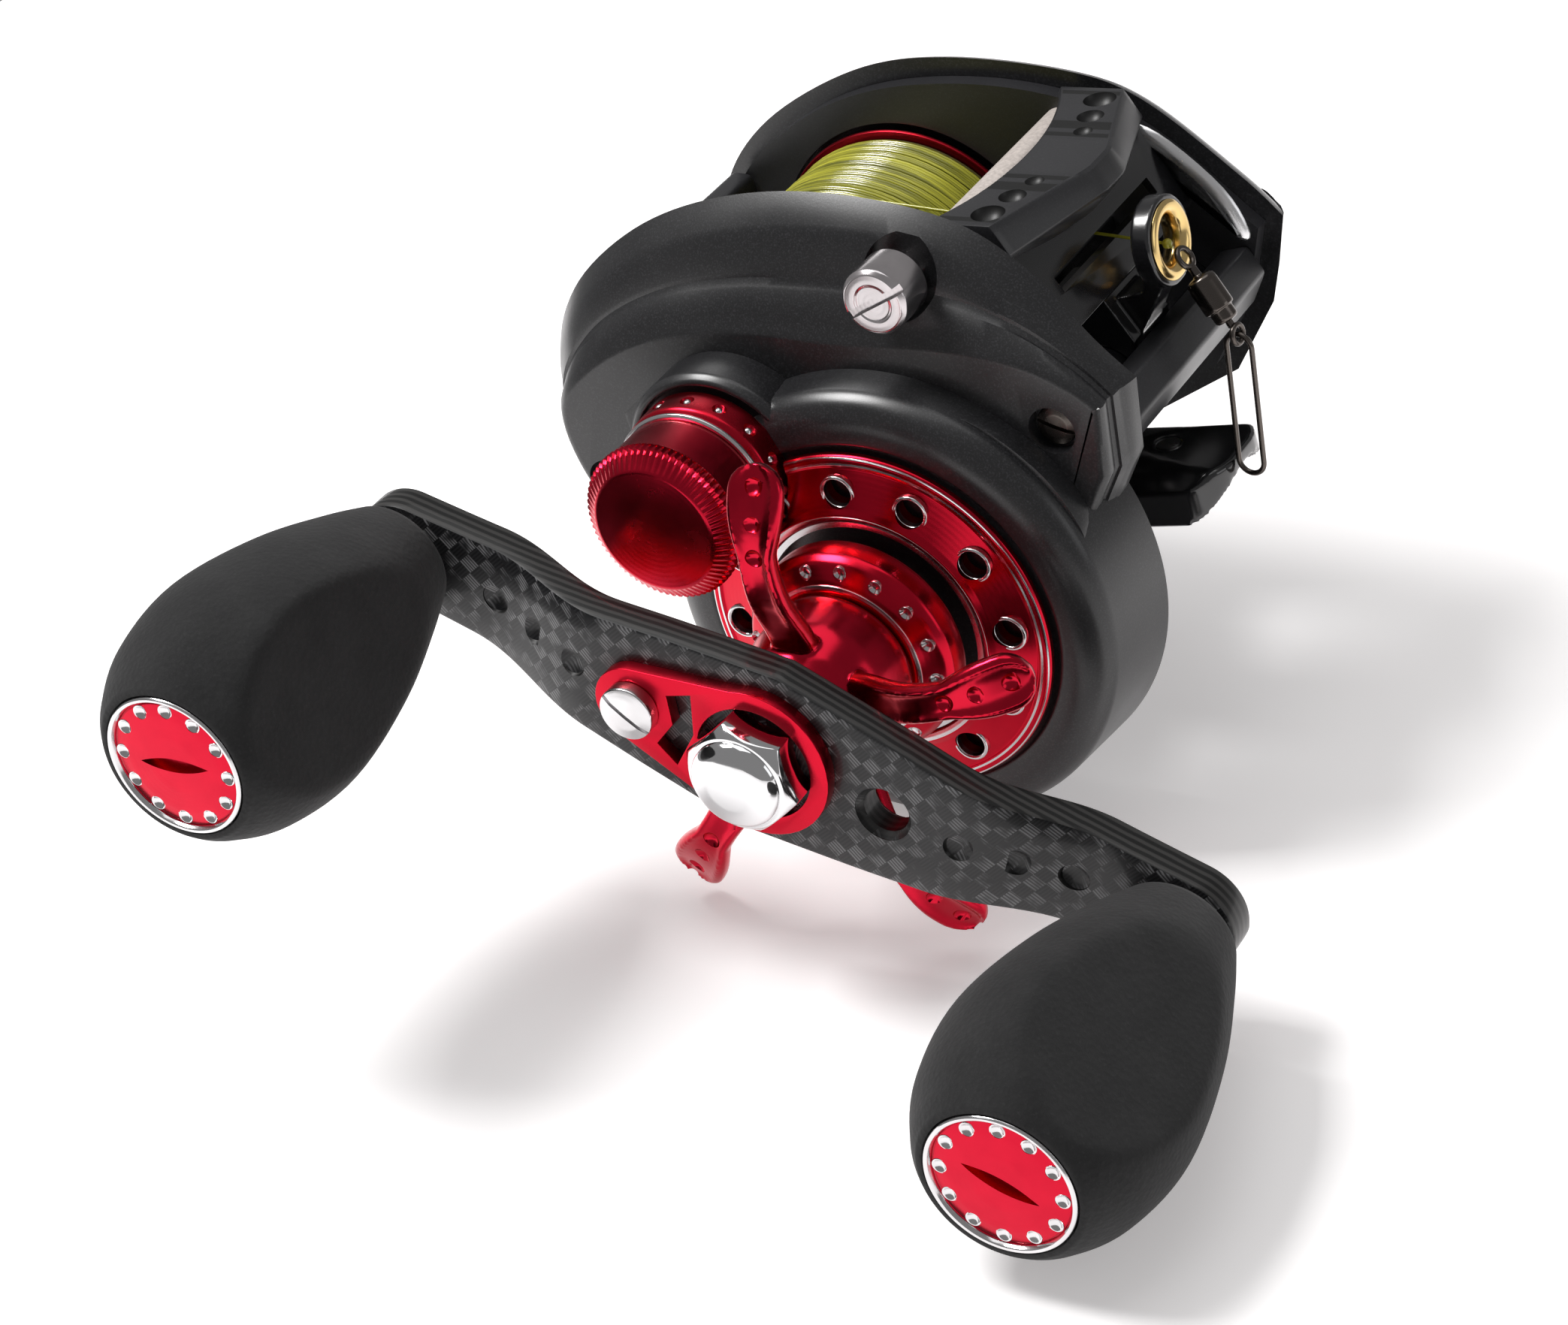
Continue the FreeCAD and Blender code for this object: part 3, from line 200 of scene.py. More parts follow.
def carbon(name, turn=CRANK):
    """A woven face under clear coat, its bright weft cells a painted sheen, and laminations on the edge."""
    look = Look(name, (0.02, 0.02, 0.02), roughness=0.42, Specular_IOR_Level=0.3, Coat_Weight=0.22,
                Coat_Roughness=0.1)
    at = look.where(turn=turn)
    checker = look.add("ShaderNodeTexChecker", Scale=620.0)
    flat = look.vector("MULTIPLY", at, (1, 0, 1))
    look.link(look.vector("ADD", flat, (0.0, 0.0004, 0.0)), checker.inputs["Vector"])
    along = look.waves(at, 900, kind="BANDS", direction="Z", distortion=0.6)
    across = look.waves(at, 900, kind="BANDS", direction="X", distortion=0.6)
    # Weft cells are painted far lighter than warp cells, and lighter still in noise patches: painted sheen for
    # light off the fibres.
    sheen_patch = look.noise(at, 420, 2.0)
    warp = look.tint(along, (0.004, 0.004, 0.005), (0.014, 0.014, 0.015))
    weft_sheen = look.tint(across, (0.03, 0.03, 0.031), (0.16, 0.16, 0.165))
    patchy_weft_sheen = look.mix(look.span(sheen_patch, 0.0, 1.0, 0.38, 0.6), (0.008, 0.008, 0.009), weft_sheen)
    weave_and_sheen = look.mix(checker.outputs["Fac"], warp, patchy_weft_sheen)
    layers = look.waves(at, 330, kind="BANDS", direction="Y", distortion=0.8)
    edge = look.tint(layers, (0.005, 0.005, 0.005), (0.035, 0.034, 0.033), 0.3, 0.8)
    coordinates = look.add("ShaderNodeTexCoord")
    normal = look.add("ShaderNodeSeparateXYZ")
    look.link(coordinates.outputs["Normal"], normal.inputs["Vector"])
    facing = look.add("ShaderNodeMath", operation="ABSOLUTE")
    look.link(normal.outputs["Y"], facing.inputs[0])
    share = look.span(facing.outputs[0], 0.0, 1.0, 0.62, 0.72)
    look.drive("Base Color", look.mix(share, edge, weave_and_sheen))
    look.bump(layers, 0.25, 0.03)
    return look.material


def foam(name):
    """Closed-cell foam: dark, dry and finely pitted."""
    look = Look(name, (0.012, 0.012, 0.0125), roughness=0.9, Specular_IOR_Level=0.3, Sheen_Weight=0.08,
                Sheen_Roughness=0.6)
    at = look.where()
    cells = look.add("ShaderNodeTexVoronoi", Scale=1500.0)
    look.link(at, cells.inputs["Vector"])
    grain = look.noise(at, 2600, 3.0)
    cloud = look.noise(at, 160, 4.0)
    tone = look.mix(look.span(cloud, 0.0, 1.0), (0.008, 0.008, 0.0085), (0.016, 0.016, 0.0165))
    speck = look.mix(look.span(grain, 0.0, 0.6, 0.55, 0.8), tone, (0.034, 0.034, 0.035))
    look.drive("Base Color", speck)
    look.drive("Roughness", look.span(grain, 0.82, 0.98))
    look.bump(cells.outputs["Distance"], 0.35, 0.12)
    look.bump(grain, 0.4, 0.06)
    return look.material


def monofilament(name):
    """Yellow-green nylon, streaked along its strands."""
    look = Look(name, (0.38, 0.38, 0.03), roughness=0.2, Transmission_Weight=0.15, IOR=1.5, Coat_Weight=0.5)
    streaks = look.noise(look.vector("MULTIPLY", look.where(), (70, 2400, 70)), 1.0, 3.0)
    look.drive("Base Color", look.tint(streaks, (0.13, 0.135, 0.008), (0.56, 0.54, 0.045), 0.3, 0.7))
    return look.material


def plain(name, colour, roughness):
    """Moulded plastic or felt with a fine grain."""
    look = Look(name, colour, roughness=roughness)
    grain = look.noise(look.where(), 2400, 4.0)
    look.drive("Base Color", look.tint(grain, tuple(c * 0.75 for c in colour), colour))
    look.bump(grain, 0.3, 0.03)
    return look.material


LOOKS = {
    "satin_black": painted("satin_black", (0.016, 0.016, 0.018), 0.38),
    "cover_black": painted("cover_black", (0.010, 0.010, 0.011), 0.33, flake=0.9),
    "foot_black": painted("foot_black", (0.010, 0.010, 0.011), 0.16, flake=0.1, coat=0.8),
    "inner_black": painted("inner_black", (0.008, 0.008, 0.009), 0.2, flake=0.1, coat=0.6),
    "chrome": polished("chrome", (0.80, 0.80, 0.81), 0.06),
    "silver": turned("silver", (0.72, 0.71, 0.72), 0.24),
    "red_anodised": turned("red_anodised", (0.62, 0.012, 0.035), 0.24),
    "spool_red": turned("spool_red", (0.35, 0.01, 0.02), 0.3, axis=SPOOL),
    "carbon": carbon("carbon"),
    "foam": foam("foam"),
    "steel": polished("steel", (0.58, 0.57, 0.56), 0.2),
    "dark_steel": polished("dark_steel", (0.12, 0.105, 0.095), 0.2),
    "gear_brass": turned("gear_brass", (0.72, 0.52, 0.22), 0.3),
    "gold": polished("gold", (0.86, 0.62, 0.26), 0.14),
    "line": monofilament("line"),
    "bush_plastic": plain("bush_plastic", (0.55, 0.54, 0.50), 0.5),
    "felt": plain("felt", (0.06, 0.055, 0.05), 0.95),
}


RED = (0.60, 0.012, 0.035)
DISC_RED = (0.60, 0.010, 0.03)
SILVER = (0.74, 0.73, 0.74)


# ---------------- meshes


def make(name, verts, faces, angle=38):
    """A mesh object from millimetres, smooth but for its sharp edges."""
    mesh = bpy.data.meshes.new(name)
    mesh.from_pydata([Vector(v) * MM for v in verts], [], faces)
    obj = bpy.data.objects.new(name, mesh)
    bpy.context.scene.collection.objects.link(obj)
    tidy(obj, angle)
    return obj


def tidy(obj, angle=38):
    """Merges doubles, turns the normals outward and marks the sharp edges."""
    bm = bmesh.new()
    bm.from_mesh(obj.data)
    bmesh.ops.remove_doubles(bm, verts=bm.verts, dist=2e-6)
    bmesh.ops.recalc_face_normals(bm, faces=bm.faces)
    bm.to_mesh(obj.data)
    bm.free()
    obj.data.shade_smooth()
    obj.data.set_sharp_from_angle(angle=math.radians(angle))
    return obj


def settle(obj, angle=38):
    """Turns an object's modifiers into its own mesh."""
    graph = bpy.context.evaluated_depsgraph_get()
    mesh = bpy.data.meshes.new_from_object(obj.evaluated_get(graph))
    obj.modifiers.clear()
    old = obj.data
    obj.data = mesh
    bpy.data.meshes.remove(old)
    return tidy(obj, angle)


def modify(obj, kind, **values):
    modifier = obj.modifiers.new(kind.lower(), kind)
    for key, value in values.items():
        setattr(modifier, key, value)


def bevel(obj, width, segments=3, limit=35, angle=38):
    """Rounds the edges that are sharper than a limit."""
    modify(obj, "BEVEL", width=width * MM, segments=segments, limit_method="ANGLE",
           angle_limit=math.radians(limit))
    return settle(obj, angle)


def carve(obj, cutters, angle=38):
    """Takes the cutters out of an object, with the second solver if the first one loses the mesh."""
    for cutter in cutters:
        before = obj.data.copy()
        for solver in ("MANIFOLD", "EXACT"):
            modify(obj, "BOOLEAN", operation="DIFFERENCE", solver=solver, object=cutter)
            settle(obj, angle)
            if len(obj.data.vertices) > len(before.vertices) / 2:
                break
            obj.data = before.copy()
        bpy.data.meshes.remove(before)
    for cutter in cutters:
        bpy.data.objects.remove(cutter)
    return obj


def melt(obj, voxel, rounds=6):
    """Joins what overlaps into one skin with soft fillets."""
    modify(obj, "REMESH", mode="VOXEL", voxel_size=voxel * MM)
    modify(obj, "SMOOTH", factor=0.6, iterations=rounds)
    return settle(obj, 60)


def join(name, parts):
    """One object from several."""
    with bpy.context.temp_override(active_object=parts[0], object=parts[0], selected_objects=parts,
                                   selected_editable_objects=parts):
        bpy.ops.object.join()
    parts[0].name = name
    return parts[0]


def turn(obj, angle=CRANK):
    """Turns a mesh about the drive axis."""
    obj.data.transform(Matrix.Rotation(angle, 4, "Y"))
    obj.data.update()
    return obj


def rounded(points, radius, steps=4, closed=False):
    """A polyline whose corners are eased."""
    line = [Vector(p) for p in points]
    out = []
    for i, p in enumerate(line):
        if not closed and i in (0, len(line) - 1):
            out.append(p)
            continue
        a, b = line[i - 1], line[(i + 1) % len(line)]
        start = p + (a - p).normalized() * min(radius, 0.45 * (a - p).length)
        end = p + (b - p).normalized() * min(radius, 0.45 * (b - p).length)
        for k in range(steps + 1):
            t = k / steps
            out.append(start * (1 - t) ** 2 + p * (2 * t * (1 - t)) + end * t ** 2)
    return out


def spline(points, steps=6, closed=True):
    """A smooth curve through points."""
    line = [Vector(p) for p in points]
    n = len(line)
    out = []
    for i in range(n if closed else n - 1):
        if closed:
            p0, p1, p2, p3 = line[i - 1], line[i], line[(i + 1) % n], line[(i + 2) % n]
        else:
            p0, p1, p2, p3 = line[max(i - 1, 0)], line[i], line[i + 1], line[min(i + 2, n - 1)]
        for k in range(steps):
            t = k / steps
            out.append(0.5 * (2 * p1 + (p2 - p0) * t + (2 * p0 - 5 * p1 + 4 * p2 - p3) * t ** 2
                              + (3 * p1 - p0 - 3 * p2 + p3) * t ** 3))
    return out if closed else out + [line[-1]]


def lathe(name, profile, at=DRIVE, steps=128, ease=0.2, closed=False, ripple=None, angle=38):
    """A (radius, y) profile turned about an axis along Y. A ripple is (count, depth, y from, y to)."""
    line = rounded(profile, ease, closed=closed)
    verts = []
    for r, y in line:
        for k in range(steps):
            t = 2 * math.pi * k / steps
            reach = r
            if ripple and ripple[2] <= y <= ripple[3]:
                reach -= ripple[1] * (0.5 - 0.5 * math.cos(ripple[0] * t)) ** 0.6
            verts.append((at[0] + reach * math.cos(t), y, at[1] + reach * math.sin(t)))
    rows = len(line)
    faces = []
    for i in range(rows if closed else rows - 1):
        j = (i + 1) % rows
        for k in range(steps):
            m = (k + 1) % steps
            faces.append((i * steps + k, i * steps + m, j * steps + m, j * steps + k))
    return make(name, verts, faces, angle)


def loft(name, rings, angle=38, capped=True):
    """A skin over rings of the same count."""
    count = len(rings[0])
    verts = [p for ring in rings for p in ring]
    faces = []
    for i in range(len(rings) - 1):
        for k in range(count):
            m = (k + 1) % count
            faces.append((i * count + k, i * count + m, (i + 1) * count + m, (i + 1) * count + k))
    if capped:
        faces.append(tuple(range(count)))
        faces.append(tuple(reversed(range((len(rings) - 1) * count, len(rings) * count))))
    obj = make(name, verts, faces, angle)
    if capped and count > 24:
        bm = bmesh.new()
        bm.from_mesh(obj.data)
        bmesh.ops.triangulate(bm, faces=[f for f in bm.faces if len(f.verts) > 4], ngon_method="BEAUTY")
        bm.to_mesh(obj.data)
        bm.free()
    return obj


def plate(name, outline, y_from, y_to, edge=0.3, holes=(), angle=38):
    """A plate from an outline of (x, z), with bevelled edges."""
    low = [(x, y_from, z) for x, z in outline]
    high = [(x, y_to, z) for x, z in outline]
    obj = loft(name, [low, high], angle)
    if holes:
        carve(obj, holes)
    return bevel(obj, edge, angle=angle) if edge else obj


def pit(profile, at, steps):
    """A sharp-edged turned cutter."""
    return lathe("cutter", profile, at, steps, ease=0)


def drum(radius, y_from, y_to, at, steps=48):
    """A plain cutter or filler along Y."""
    return pit([(0, y_from), (radius, y_from), (radius, y_to), (0, y_to)], at, steps)


def circle(centre, side, other, radius, count):
    """Points round a centre, in the plane of two directions."""
    angles = [2 * math.pi * k / count for k in range(count)]
    return [centre + (side * math.cos(a) + other * math.sin(a)) * radius for a in angles]


def tube(name, points, radius, sides=12, closed=False):
    """A round wire along a path."""
    line = [Vector(p) for p in points]
    rings = []
    normal = None
    count = len(line)
    for i, p in enumerate(line):
        if closed:
            way = (line[(i + 1) % count] - line[i - 1]).normalized()
        else:
            way = (line[min(i + 1, count - 1)] - line[max(i - 1, 0)]).normalized()
        if normal is None:
            normal = way.orthogonal().normalized()
        normal = (normal - way * normal.dot(way)).normalized()
        rings.append(circle(p, normal, way.cross(normal), radius, sides))
    if closed:
        rings.append(rings[0])
    return loft(name, rings, 60, capped=not closed)


def piece(obj, body, slot, *nodes, look=None):
    """Puts a finished mesh on its body with its look, and hides the CAD nodes that it stands for."""
    if not any(obj.data.materials):
        obj.data.materials.clear()
        obj.data.materials.append(look or LOOKS[slot])
    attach(obj, body)
    if nodes:
        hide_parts(*nodes)
    return obj


def around(reach, degrees, at=DRIVE):
    """A point about an axis along Y, by its angle from +X towards +Z."""
    turn_by = math.radians(degrees)
    return at[0] + reach * math.cos(turn_by), at[1] + reach * math.sin(turn_by)


def put(obj, at, degrees):
    """Turns a mesh about Y and moves it from the drive axis to another."""
    obj.data.transform(Matrix.Translation((at[0] * MM, 0, at[1] * MM))
                       @ Matrix.Rotation(math.radians(degrees), 4, "Y"))
    return obj


def coin_slot(half_length, half_width, y_from, y_to, at, degrees):
    """A cutter for a straight screwdriver slot."""
    corners = [(-half_length, -half_width), (half_length, -half_width), (half_length, half_width),
               (-half_length, half_width)]
    return put(plate("slot", corners, y_from, y_to, 0), at, degrees)


def shifted(line, inset):
    """A closed outline of (x, z) points, moved along its normals."""
    out = []
    for i, p in enumerate(line):
        way = line[(i + 1) % len(line)] - line[i - 1]
        normal = Vector((-way.y, way.x)).normalized()
        out.append((p.x + normal.x * inset, p.y + normal.y * inset))
    return out


# ---------------- covers

COVER = [(30.0, 20.0), (26.5, 24.5), (21.0, 33.0), (13.5, 39.0), (0.5, 42.8), (-12.5, 43.3),
         (-24.5, 40.5), (-35.0, 34.0), (-40.0, 25.0), (-38.0, 13.0), (-31.0, 2.0), (-20.0, -6.0),
         (8.0, -3.5), (21.0, 1.5), (28.5, 12.0)]
CREASE = [(29.6, 20.2), (26.2, 25.0), (20.0, 31.6), (13.0, 36.6), (2.0, 39.6), (-12.0, 40.4),
          (-23.0, 38.4), (-32.6, 33.4), (-38.6, 24.6), (-37.2, 12.8), (-30.6, 2.4), (-19.8, -5.6)] + COVER[12:]
RIDGE = [(29.0, 20.0), (26.5, 22.6), (21.5, 25.6), (13.5, 27.9), (0.5, 29.6), (-10.5, 31.4),
         (-21.5, 31.2), (-31.0, 28.0), (-37.0, 22.5), (-36.0, 12.5), (-29.8, 3.0), (-19.2, -4.4),
         (8.0, -2.4), (20.4, 2.4), (27.4, 12.2)]
PALM = [(30.3, 19.5), (26.6, 24.5), (17.6, 34.2), (9.4, 38.4), (-5.0, 41.4), (-17.0, 41.0),
        (-30.4, 36.0), (-38.6, 28.4), (-40.2, 19.0), (-35.4, 6.8), (-25.0, -1.8), (-10.0, -4.2),
        (8.0, -3.5), (20.0, 1.5), (26.5, 9.5), (28.3, 13.8)]
NOSE_FROM = {15: 12, 16: 12}
NOSE_SCREWS = [(22.9, 17.9), (-33.5, 14.0)]
PALM_SCREWS = [(21.5, 15.0), (-33.0, 12.0), (-6.0, 36.0)]
THUMB = (8.8, -26.6, 34.6)


def side_ring(points, y, inset=0.0, steps=8):
    """A cover's outline at a plane: smooth over the back, straight under the nose."""
    nose = NOSE_FROM[len(points)]
    back = spline(points[:nose], steps, closed=False)
    low = [Vector(p) for p in points[nose:]]
    run = [back[-1]] + low + [back[0]]
    straight = []
    for a, b in zip(run, run[1:]):
        straight += [a.lerp(b, k / steps) for k in range(steps)]
    return [(x, y, z) for x, z in shifted(back + straight[1:], inset)]


def blended(first, second, share):
    """An outline between two of the same count."""
    return [Vector(a).lerp(Vector(b), share) for a, b in zip(first, second)]


def gear_cover():
    """The crowned cover, its raised platform, the round boss and the tension cap's boss."""
    edge_rings = [(0.0, -18.56, 0.06), (0.35, -19.6, 0.0), (0.85, -20.9, 0.0)]
    crown_rings = [(0.0, -21.35, 0.2), (0.12, -21.75, 0.15), (0.42, -22.7, 0.1), (0.46, -22.75, 0.35),
                   (0.52, -23.25, 0.5), (0.56, -23.5, 0.35), (0.85, -24.7, 0.0), (1.0, -25.2, 0.1),
                   (1.0, -25.44, 0.45), (1.0, -25.5, 0.9)]
    rings = [side_ring(blended(COVER, CREASE, share), y, inset) for share, y, inset in edge_rings]
    rings += [side_ring(blended(CREASE, RIDGE, share), y, inset) for share, y, inset in crown_rings]
    body = loft("gear_cover_body", rings, 24)
    cutters = [drum(4.2, THUMB[1] - 6.1, THUMB[1] + 6, (THUMB[0], THUMB[2]), 64)]
    cutters += [drum(2.6, -30.3, -23.77, at, 47) for at in NOSE_SCREWS]
    carve(body, cutters, 30)
    swoop = spline([(-26.1, 23.6), (-20.2, 27.1), (-14.9, 27.8), (-8.2, 24.9), (-1.3, 22.4), (9.5, 22.6),
                    (16.2, 20.4), (22.0, 14.6), (24.6, 8.6), (24.8, 4.6)], 8, closed=False)
    base = [around(24.9, a) for a in (0, -30, -60, -90, -120, -150, -180, -200)]
    platform = plate("gear_platform", swoop + base + [(-26.0, 14.0)], -28.4, -24.9, 1.3, angle=30)
    boss = lathe("gear_boss", [(26.75, -18.56), (25.75, -29.4), (24.9, -30.6), (23.5, -31.35), (22.4, -31.6),
                               (20.6, -31.6), (20.2, -31.2), (0.0, -31.2)], DRIVE, 192, ease=0.6, angle=30)
    cap_boss = lathe("cap_boss", [(10.8, -19.5), (10.8, -30.2), (10.2, -31.0), (9.6, -31.0), (9.6, -30.4),
                                  (0.0, -30.4)], SPOOL, 128, ease=0.3)
    cover = join("gear_cover", [body, platform, boss, cap_boss])
    piece(cover, "reel_body", "cover_black", "gear_side_cover")


def palm_cover():
    """The palm side's crowned plate."""
    rings = []
    for share, y in ((0.0, 18.56), (0.06, 19.4), (0.3, 21.2), (0.62, 22.9), (0.86, 23.8), (1.0, 24.14)):
        rings.append(side_ring(PALM, y, 4.6 * share))
    rings.append(side_ring(PALM, 24.19, 5.6))
    cover = loft("palm_cover", rings, 30)
    carve(cover, [drum(1.62, 22.4, 26, at, 32) for at in PALM_SCREWS], 30)
    piece(cover, "reel_body", "cover_black", "palm_side_cover")


def slotted_screw(name, at, y, radius, deep=0.5, tilt=30, thick=1.2):
    """A domed screw head with a coin slot."""
    head = lathe(name, [(0, y - 0.12), (radius * 0.6, y - 0.05), (radius, y + 0.25), (radius, y + thick),
                        (0, y + thick)], at, 48, ease=0.15)
    return carve(head, [coin_slot(radius * 1.1, 0.22, y - 1, y + deep, at, tilt)])


def cover_hardware():
    """The nose screws and the knurled thumb screw."""
    screws = [slotted_screw("nose_screw", at, -24.6, 2.2, tilt=25 + 60 * i)
              for i, at in enumerate(NOSE_SCREWS)]
    piece(join("cover_screw_heads", screws), "reel_body", "dark_steel", "cover_screws")
    x, y, z = THUMB
    knurl = (40, 0.2, y - 1.1, y + 3.0)
    profile = [(0, y - 1.75), (1.9, y - 1.75), (2.1, y - 1.88), (3.2, y - 1.88), (3.66, y - 1.4),
               (3.66, y + 3.2), (3.3, y + 3.5), (0, y + 3.5)]
    head = lathe("thumb_head", profile, (x, z), 240, ease=0.15, ripple=knurl)
    carve(head, [coin_slot(4, 0.45, y - 3, y - 1.0, (x, z), -20)])
    shank = drum(1.6, y + 1.6, -16.7, (x, z), 48)
    piece(join("thumb_screw_head", [head, shank]), "side_screw", "silver", "thumb_screw",
          look=turned("thumb_silver", (0.70, 0.66, 0.67), 0.2, (x, z)))


# ---------------- front

HALF = 16.45
PROW = 18.4
CREST, CREST_SLOPE = 37.35 + 0.13 * 11.5, 0.13
DENTS = [(15.5, 13.6, 1.9), (16.3, 9.5, 1.6), (17.1, 5.9, 1.2)]


def front_hood():
    """The bridge: a hollow rear edge, a sloped top, a prow and a lower lip."""
    rings = []
    count = 36
    for i in range(count + 1):
        y = -HALF + 2 * HALF * i / count
        rear = -23.0 + math.sqrt(36.0 ** 2 - y * y)
        lead = PROW + 4.5 * max(0.0, 1 - max(0.0, abs(y) - 2.2) / 14.2)
        profile = [(rear, 36.95), (rear + 0.5, CREST - CREST_SLOPE * (rear + 0.5)),
                   (lead - 1.5, CREST - CREST_SLOPE * (lead - 1.5)), (lead - 1.1, 35.75), (lead - 0.1, 33.3),
                   (lead - 0.4, 32.9), (lead - 2.9, 30.8), (lead - 4.2, 31.6), (rear + 0.4, 35.2),
                   (rear, 35.7)]
        rings.append([(x, y, z) for x, z in profile])
    hood = loft("hood", rings, 26)
    dents, painted_shade_spots = [], []
    for side in (-1, 1):
        for x, y, r in DENTS:
            spot = Vector((x, side * y, 36.9 + 0.25 * r))
            dents.append(ball(r, spot))
            painted_shade_spots.append((spot * MM, 1.02 * r * MM))
    bevel(hood, 0.16, 2, 40, 30)
    carve(hood, dents, 26)
    # The dimples' faces get a near-black second material: painted shade for the shade inside the recesses.
    hood.data.materials.clear()
    hood.data.materials.append(LOOKS["satin_black"])
    hood.data.materials.append(plain("painted_dent_shade", (0.004, 0.004, 0.004), 0.45))
    for face in hood.data.polygons:
        face.material_index = int(any((face.center - spot).length < reach for spot, reach in painted_shade_spots))
    piece(hood, "reel_body", "satin_black", "front_hood")


def ball(radius, centre, rings=16):
    """A small sphere, as a cutter for a dimple or the head of a pin."""
    profile = [(radius * math.sin(math.pi * k / rings), centre[1] - radius * math.cos(math.pi * k / rings))
               for k in range(rings + 1)]
    return lathe("ball", profile, (centre[0], centre[2]), 32, ease=0)


def front_bar():
    """The faceted bar between the noses."""
    line = [(23.0, 17.0), (26.4, 17.4), (27.8, 14.2), (25.4, 10.6), (23.6, 10.2), (22.8, 12.6)]
    bar = plate("nose_bar", line, -HALF, HALF, 0.45, angle=30)
    piece(bar, "reel_body", "satin_black", "front_bar")


def front_trim():
    """The bright crescent inside the palm side's cheek."""
    line = spline([(15.0, 33.0), (19.5, 31.2), (25.4, 24.2), (27.1, 18.7), (25.3, 18.5), (22.6, 24.0),
                   (17.6, 29.4), (13.7, 31.2)], 5)
    crown = ((0.0, 16.44), (0.1, 16.1), (0.45, 15.82), (0.95, 15.66), (1.2, 15.62))
    rings = [[(x, y, z) for x, z in shifted(line, -inset)] for inset, y in crown]
    trim = loft("cheek_trim", rings, 60)
    piece(trim, "reel_body", "chrome", "front_trim", look=polished("trim_chrome", (0.86, 0.86, 0.87), 0.2))


def cross_bar():
    """The pale rod across the top behind the hood."""
    line = [(6.62, 32.6), (6.75, 34.7), (8.0, 35.26), (9.6, 35.2), (10.55, 34.4), (10.4, 32.2), (8.6, 31.5)]
    bar = plate("cross_rod", rounded(line, 0.8, closed=True), -16.4, 16.4, 0.15)
    piece(bar, "reel_body", "silver", "top_cross_bar", look=plain("pale_satin", (0.60, 0.54, 0.50), 0.42))


def shield():
    """The glossy dark panels under the hood, the front one with a slit for the line."""
    line = [(9.5, 9.0), (11.0, 9.0), (11.4, 22.0), (10.4, 22.0)]
    low = plate("inner_panel", line, -HALF, HALF, 0.2)
    line = [(20.7, 22.9), (21.6, 23.0), (20.1, 27.0), (17.6, 32.3), (16.5, 32.3), (19.1, 27.0)]
    face = plate("guide_face", line, -HALF, HALF, 0.12)
    window = ((-11.6, 26.5), (11.6, 26.5), (11.6, 28.3), (-11.6, 28.3))
    slit = loft("slit", [[(x, y, z) for y, z in window] for x in (10, 30)])
    carve(face, [slit])
    piece(join("inner_panels", [low, face]), "reel_body", "inner_black", "front_shield")


# ---------------- vented disc, collar and star

VENTS, VENT_REACH, VENT_PHASE, CAP_ROOM = 12, 16.0, 86.6, 9.7
COLLAR_DIMPLES, COLLAR_REACH, COLLAR_PHASE = 16, 10.4, 8
FINGERS, STAR_PHASE = 5, 80.5
FINGER_DIMPLES = ((19.9, -53.9), (23.5, -53.3), (27.0, -51.6))


def vented_disc():
    """The dished red disc with chamfered vents and two bright lines."""
    base = -31.65
    outer, bore, rise = 19.9, 12.9, 2.4

    def room_for_cap():
        return drum(CAP_ROOM, base - 8, base + 2, SPOOL, 96)

    profile = [(bore, base), (outer, base), (outer, base - 0.7), (outer - 0.35, base - 1.05),
               (outer - 1.1, base - 1.1), (outer - 1.4, base - 0.95), (bore + 1.5, base - rise),
               (bore + 0.9, base - rise - 0.38), (bore, base - rise)]
    disc = lathe("vented_plate", profile, DRIVE, 192, ease=0.18, closed=True, angle=30)
    holes, rings = [], []
    for k in range(VENTS):
        at = around(VENT_REACH, VENT_PHASE + 360 / VENTS * k)
        share = (outer - 1.4 - VENT_REACH) / (outer - 1.4 - bore - 1.5)
        face = base - 0.95 - (rise - 0.95) * share
        holes.append(drum(1.6, base - 8, base + 1, at, 40))
        profile = [(1.55, face + 0.7), (1.55, face - 0.02), (1.75, face - 0.22), (2.0, face - 0.1),
                   (2.0, face + 0.5)]
        rings.append(lathe("vent_ring", profile, at, 40, ease=0.1))
    carve(disc, holes + [room_for_cap()], 30)
    trim = join("vent_chamfers", rings)
    carve(trim, [room_for_cap()], 30)
    piece(disc, "reel_body", "red_anodised", "vented_disc", look=turned("disc_red", DISC_RED, 0.2))
    lines = []
    bands = ((outer - 0.62, base - 1.08, 0.14, 0.44), (bore + 0.5, base - rise - 0.2, -0.2, 0.34))
    for r, y, lean, half in bands:
        profile = [(r - half, y + 0.1), (r - half, y - 0.04), (r + half, y - 0.04 + lean),
                   (r + half, y + 0.1 + lean)]
        lines.append(lathe("disc_line", profile, DRIVE, 192, ease=0.03, closed=True))
    rims = join("disc_lines", lines)
    carve(rims, [room_for_cap()], 30)
    piece(rims, "reel_body", "silver", look=turned("rim_silver", SILVER, 0.16, pitch=90))
    piece(trim, "reel_body", "silver", look=turned("vent_silver", SILVER, 0.18, pitch=90))


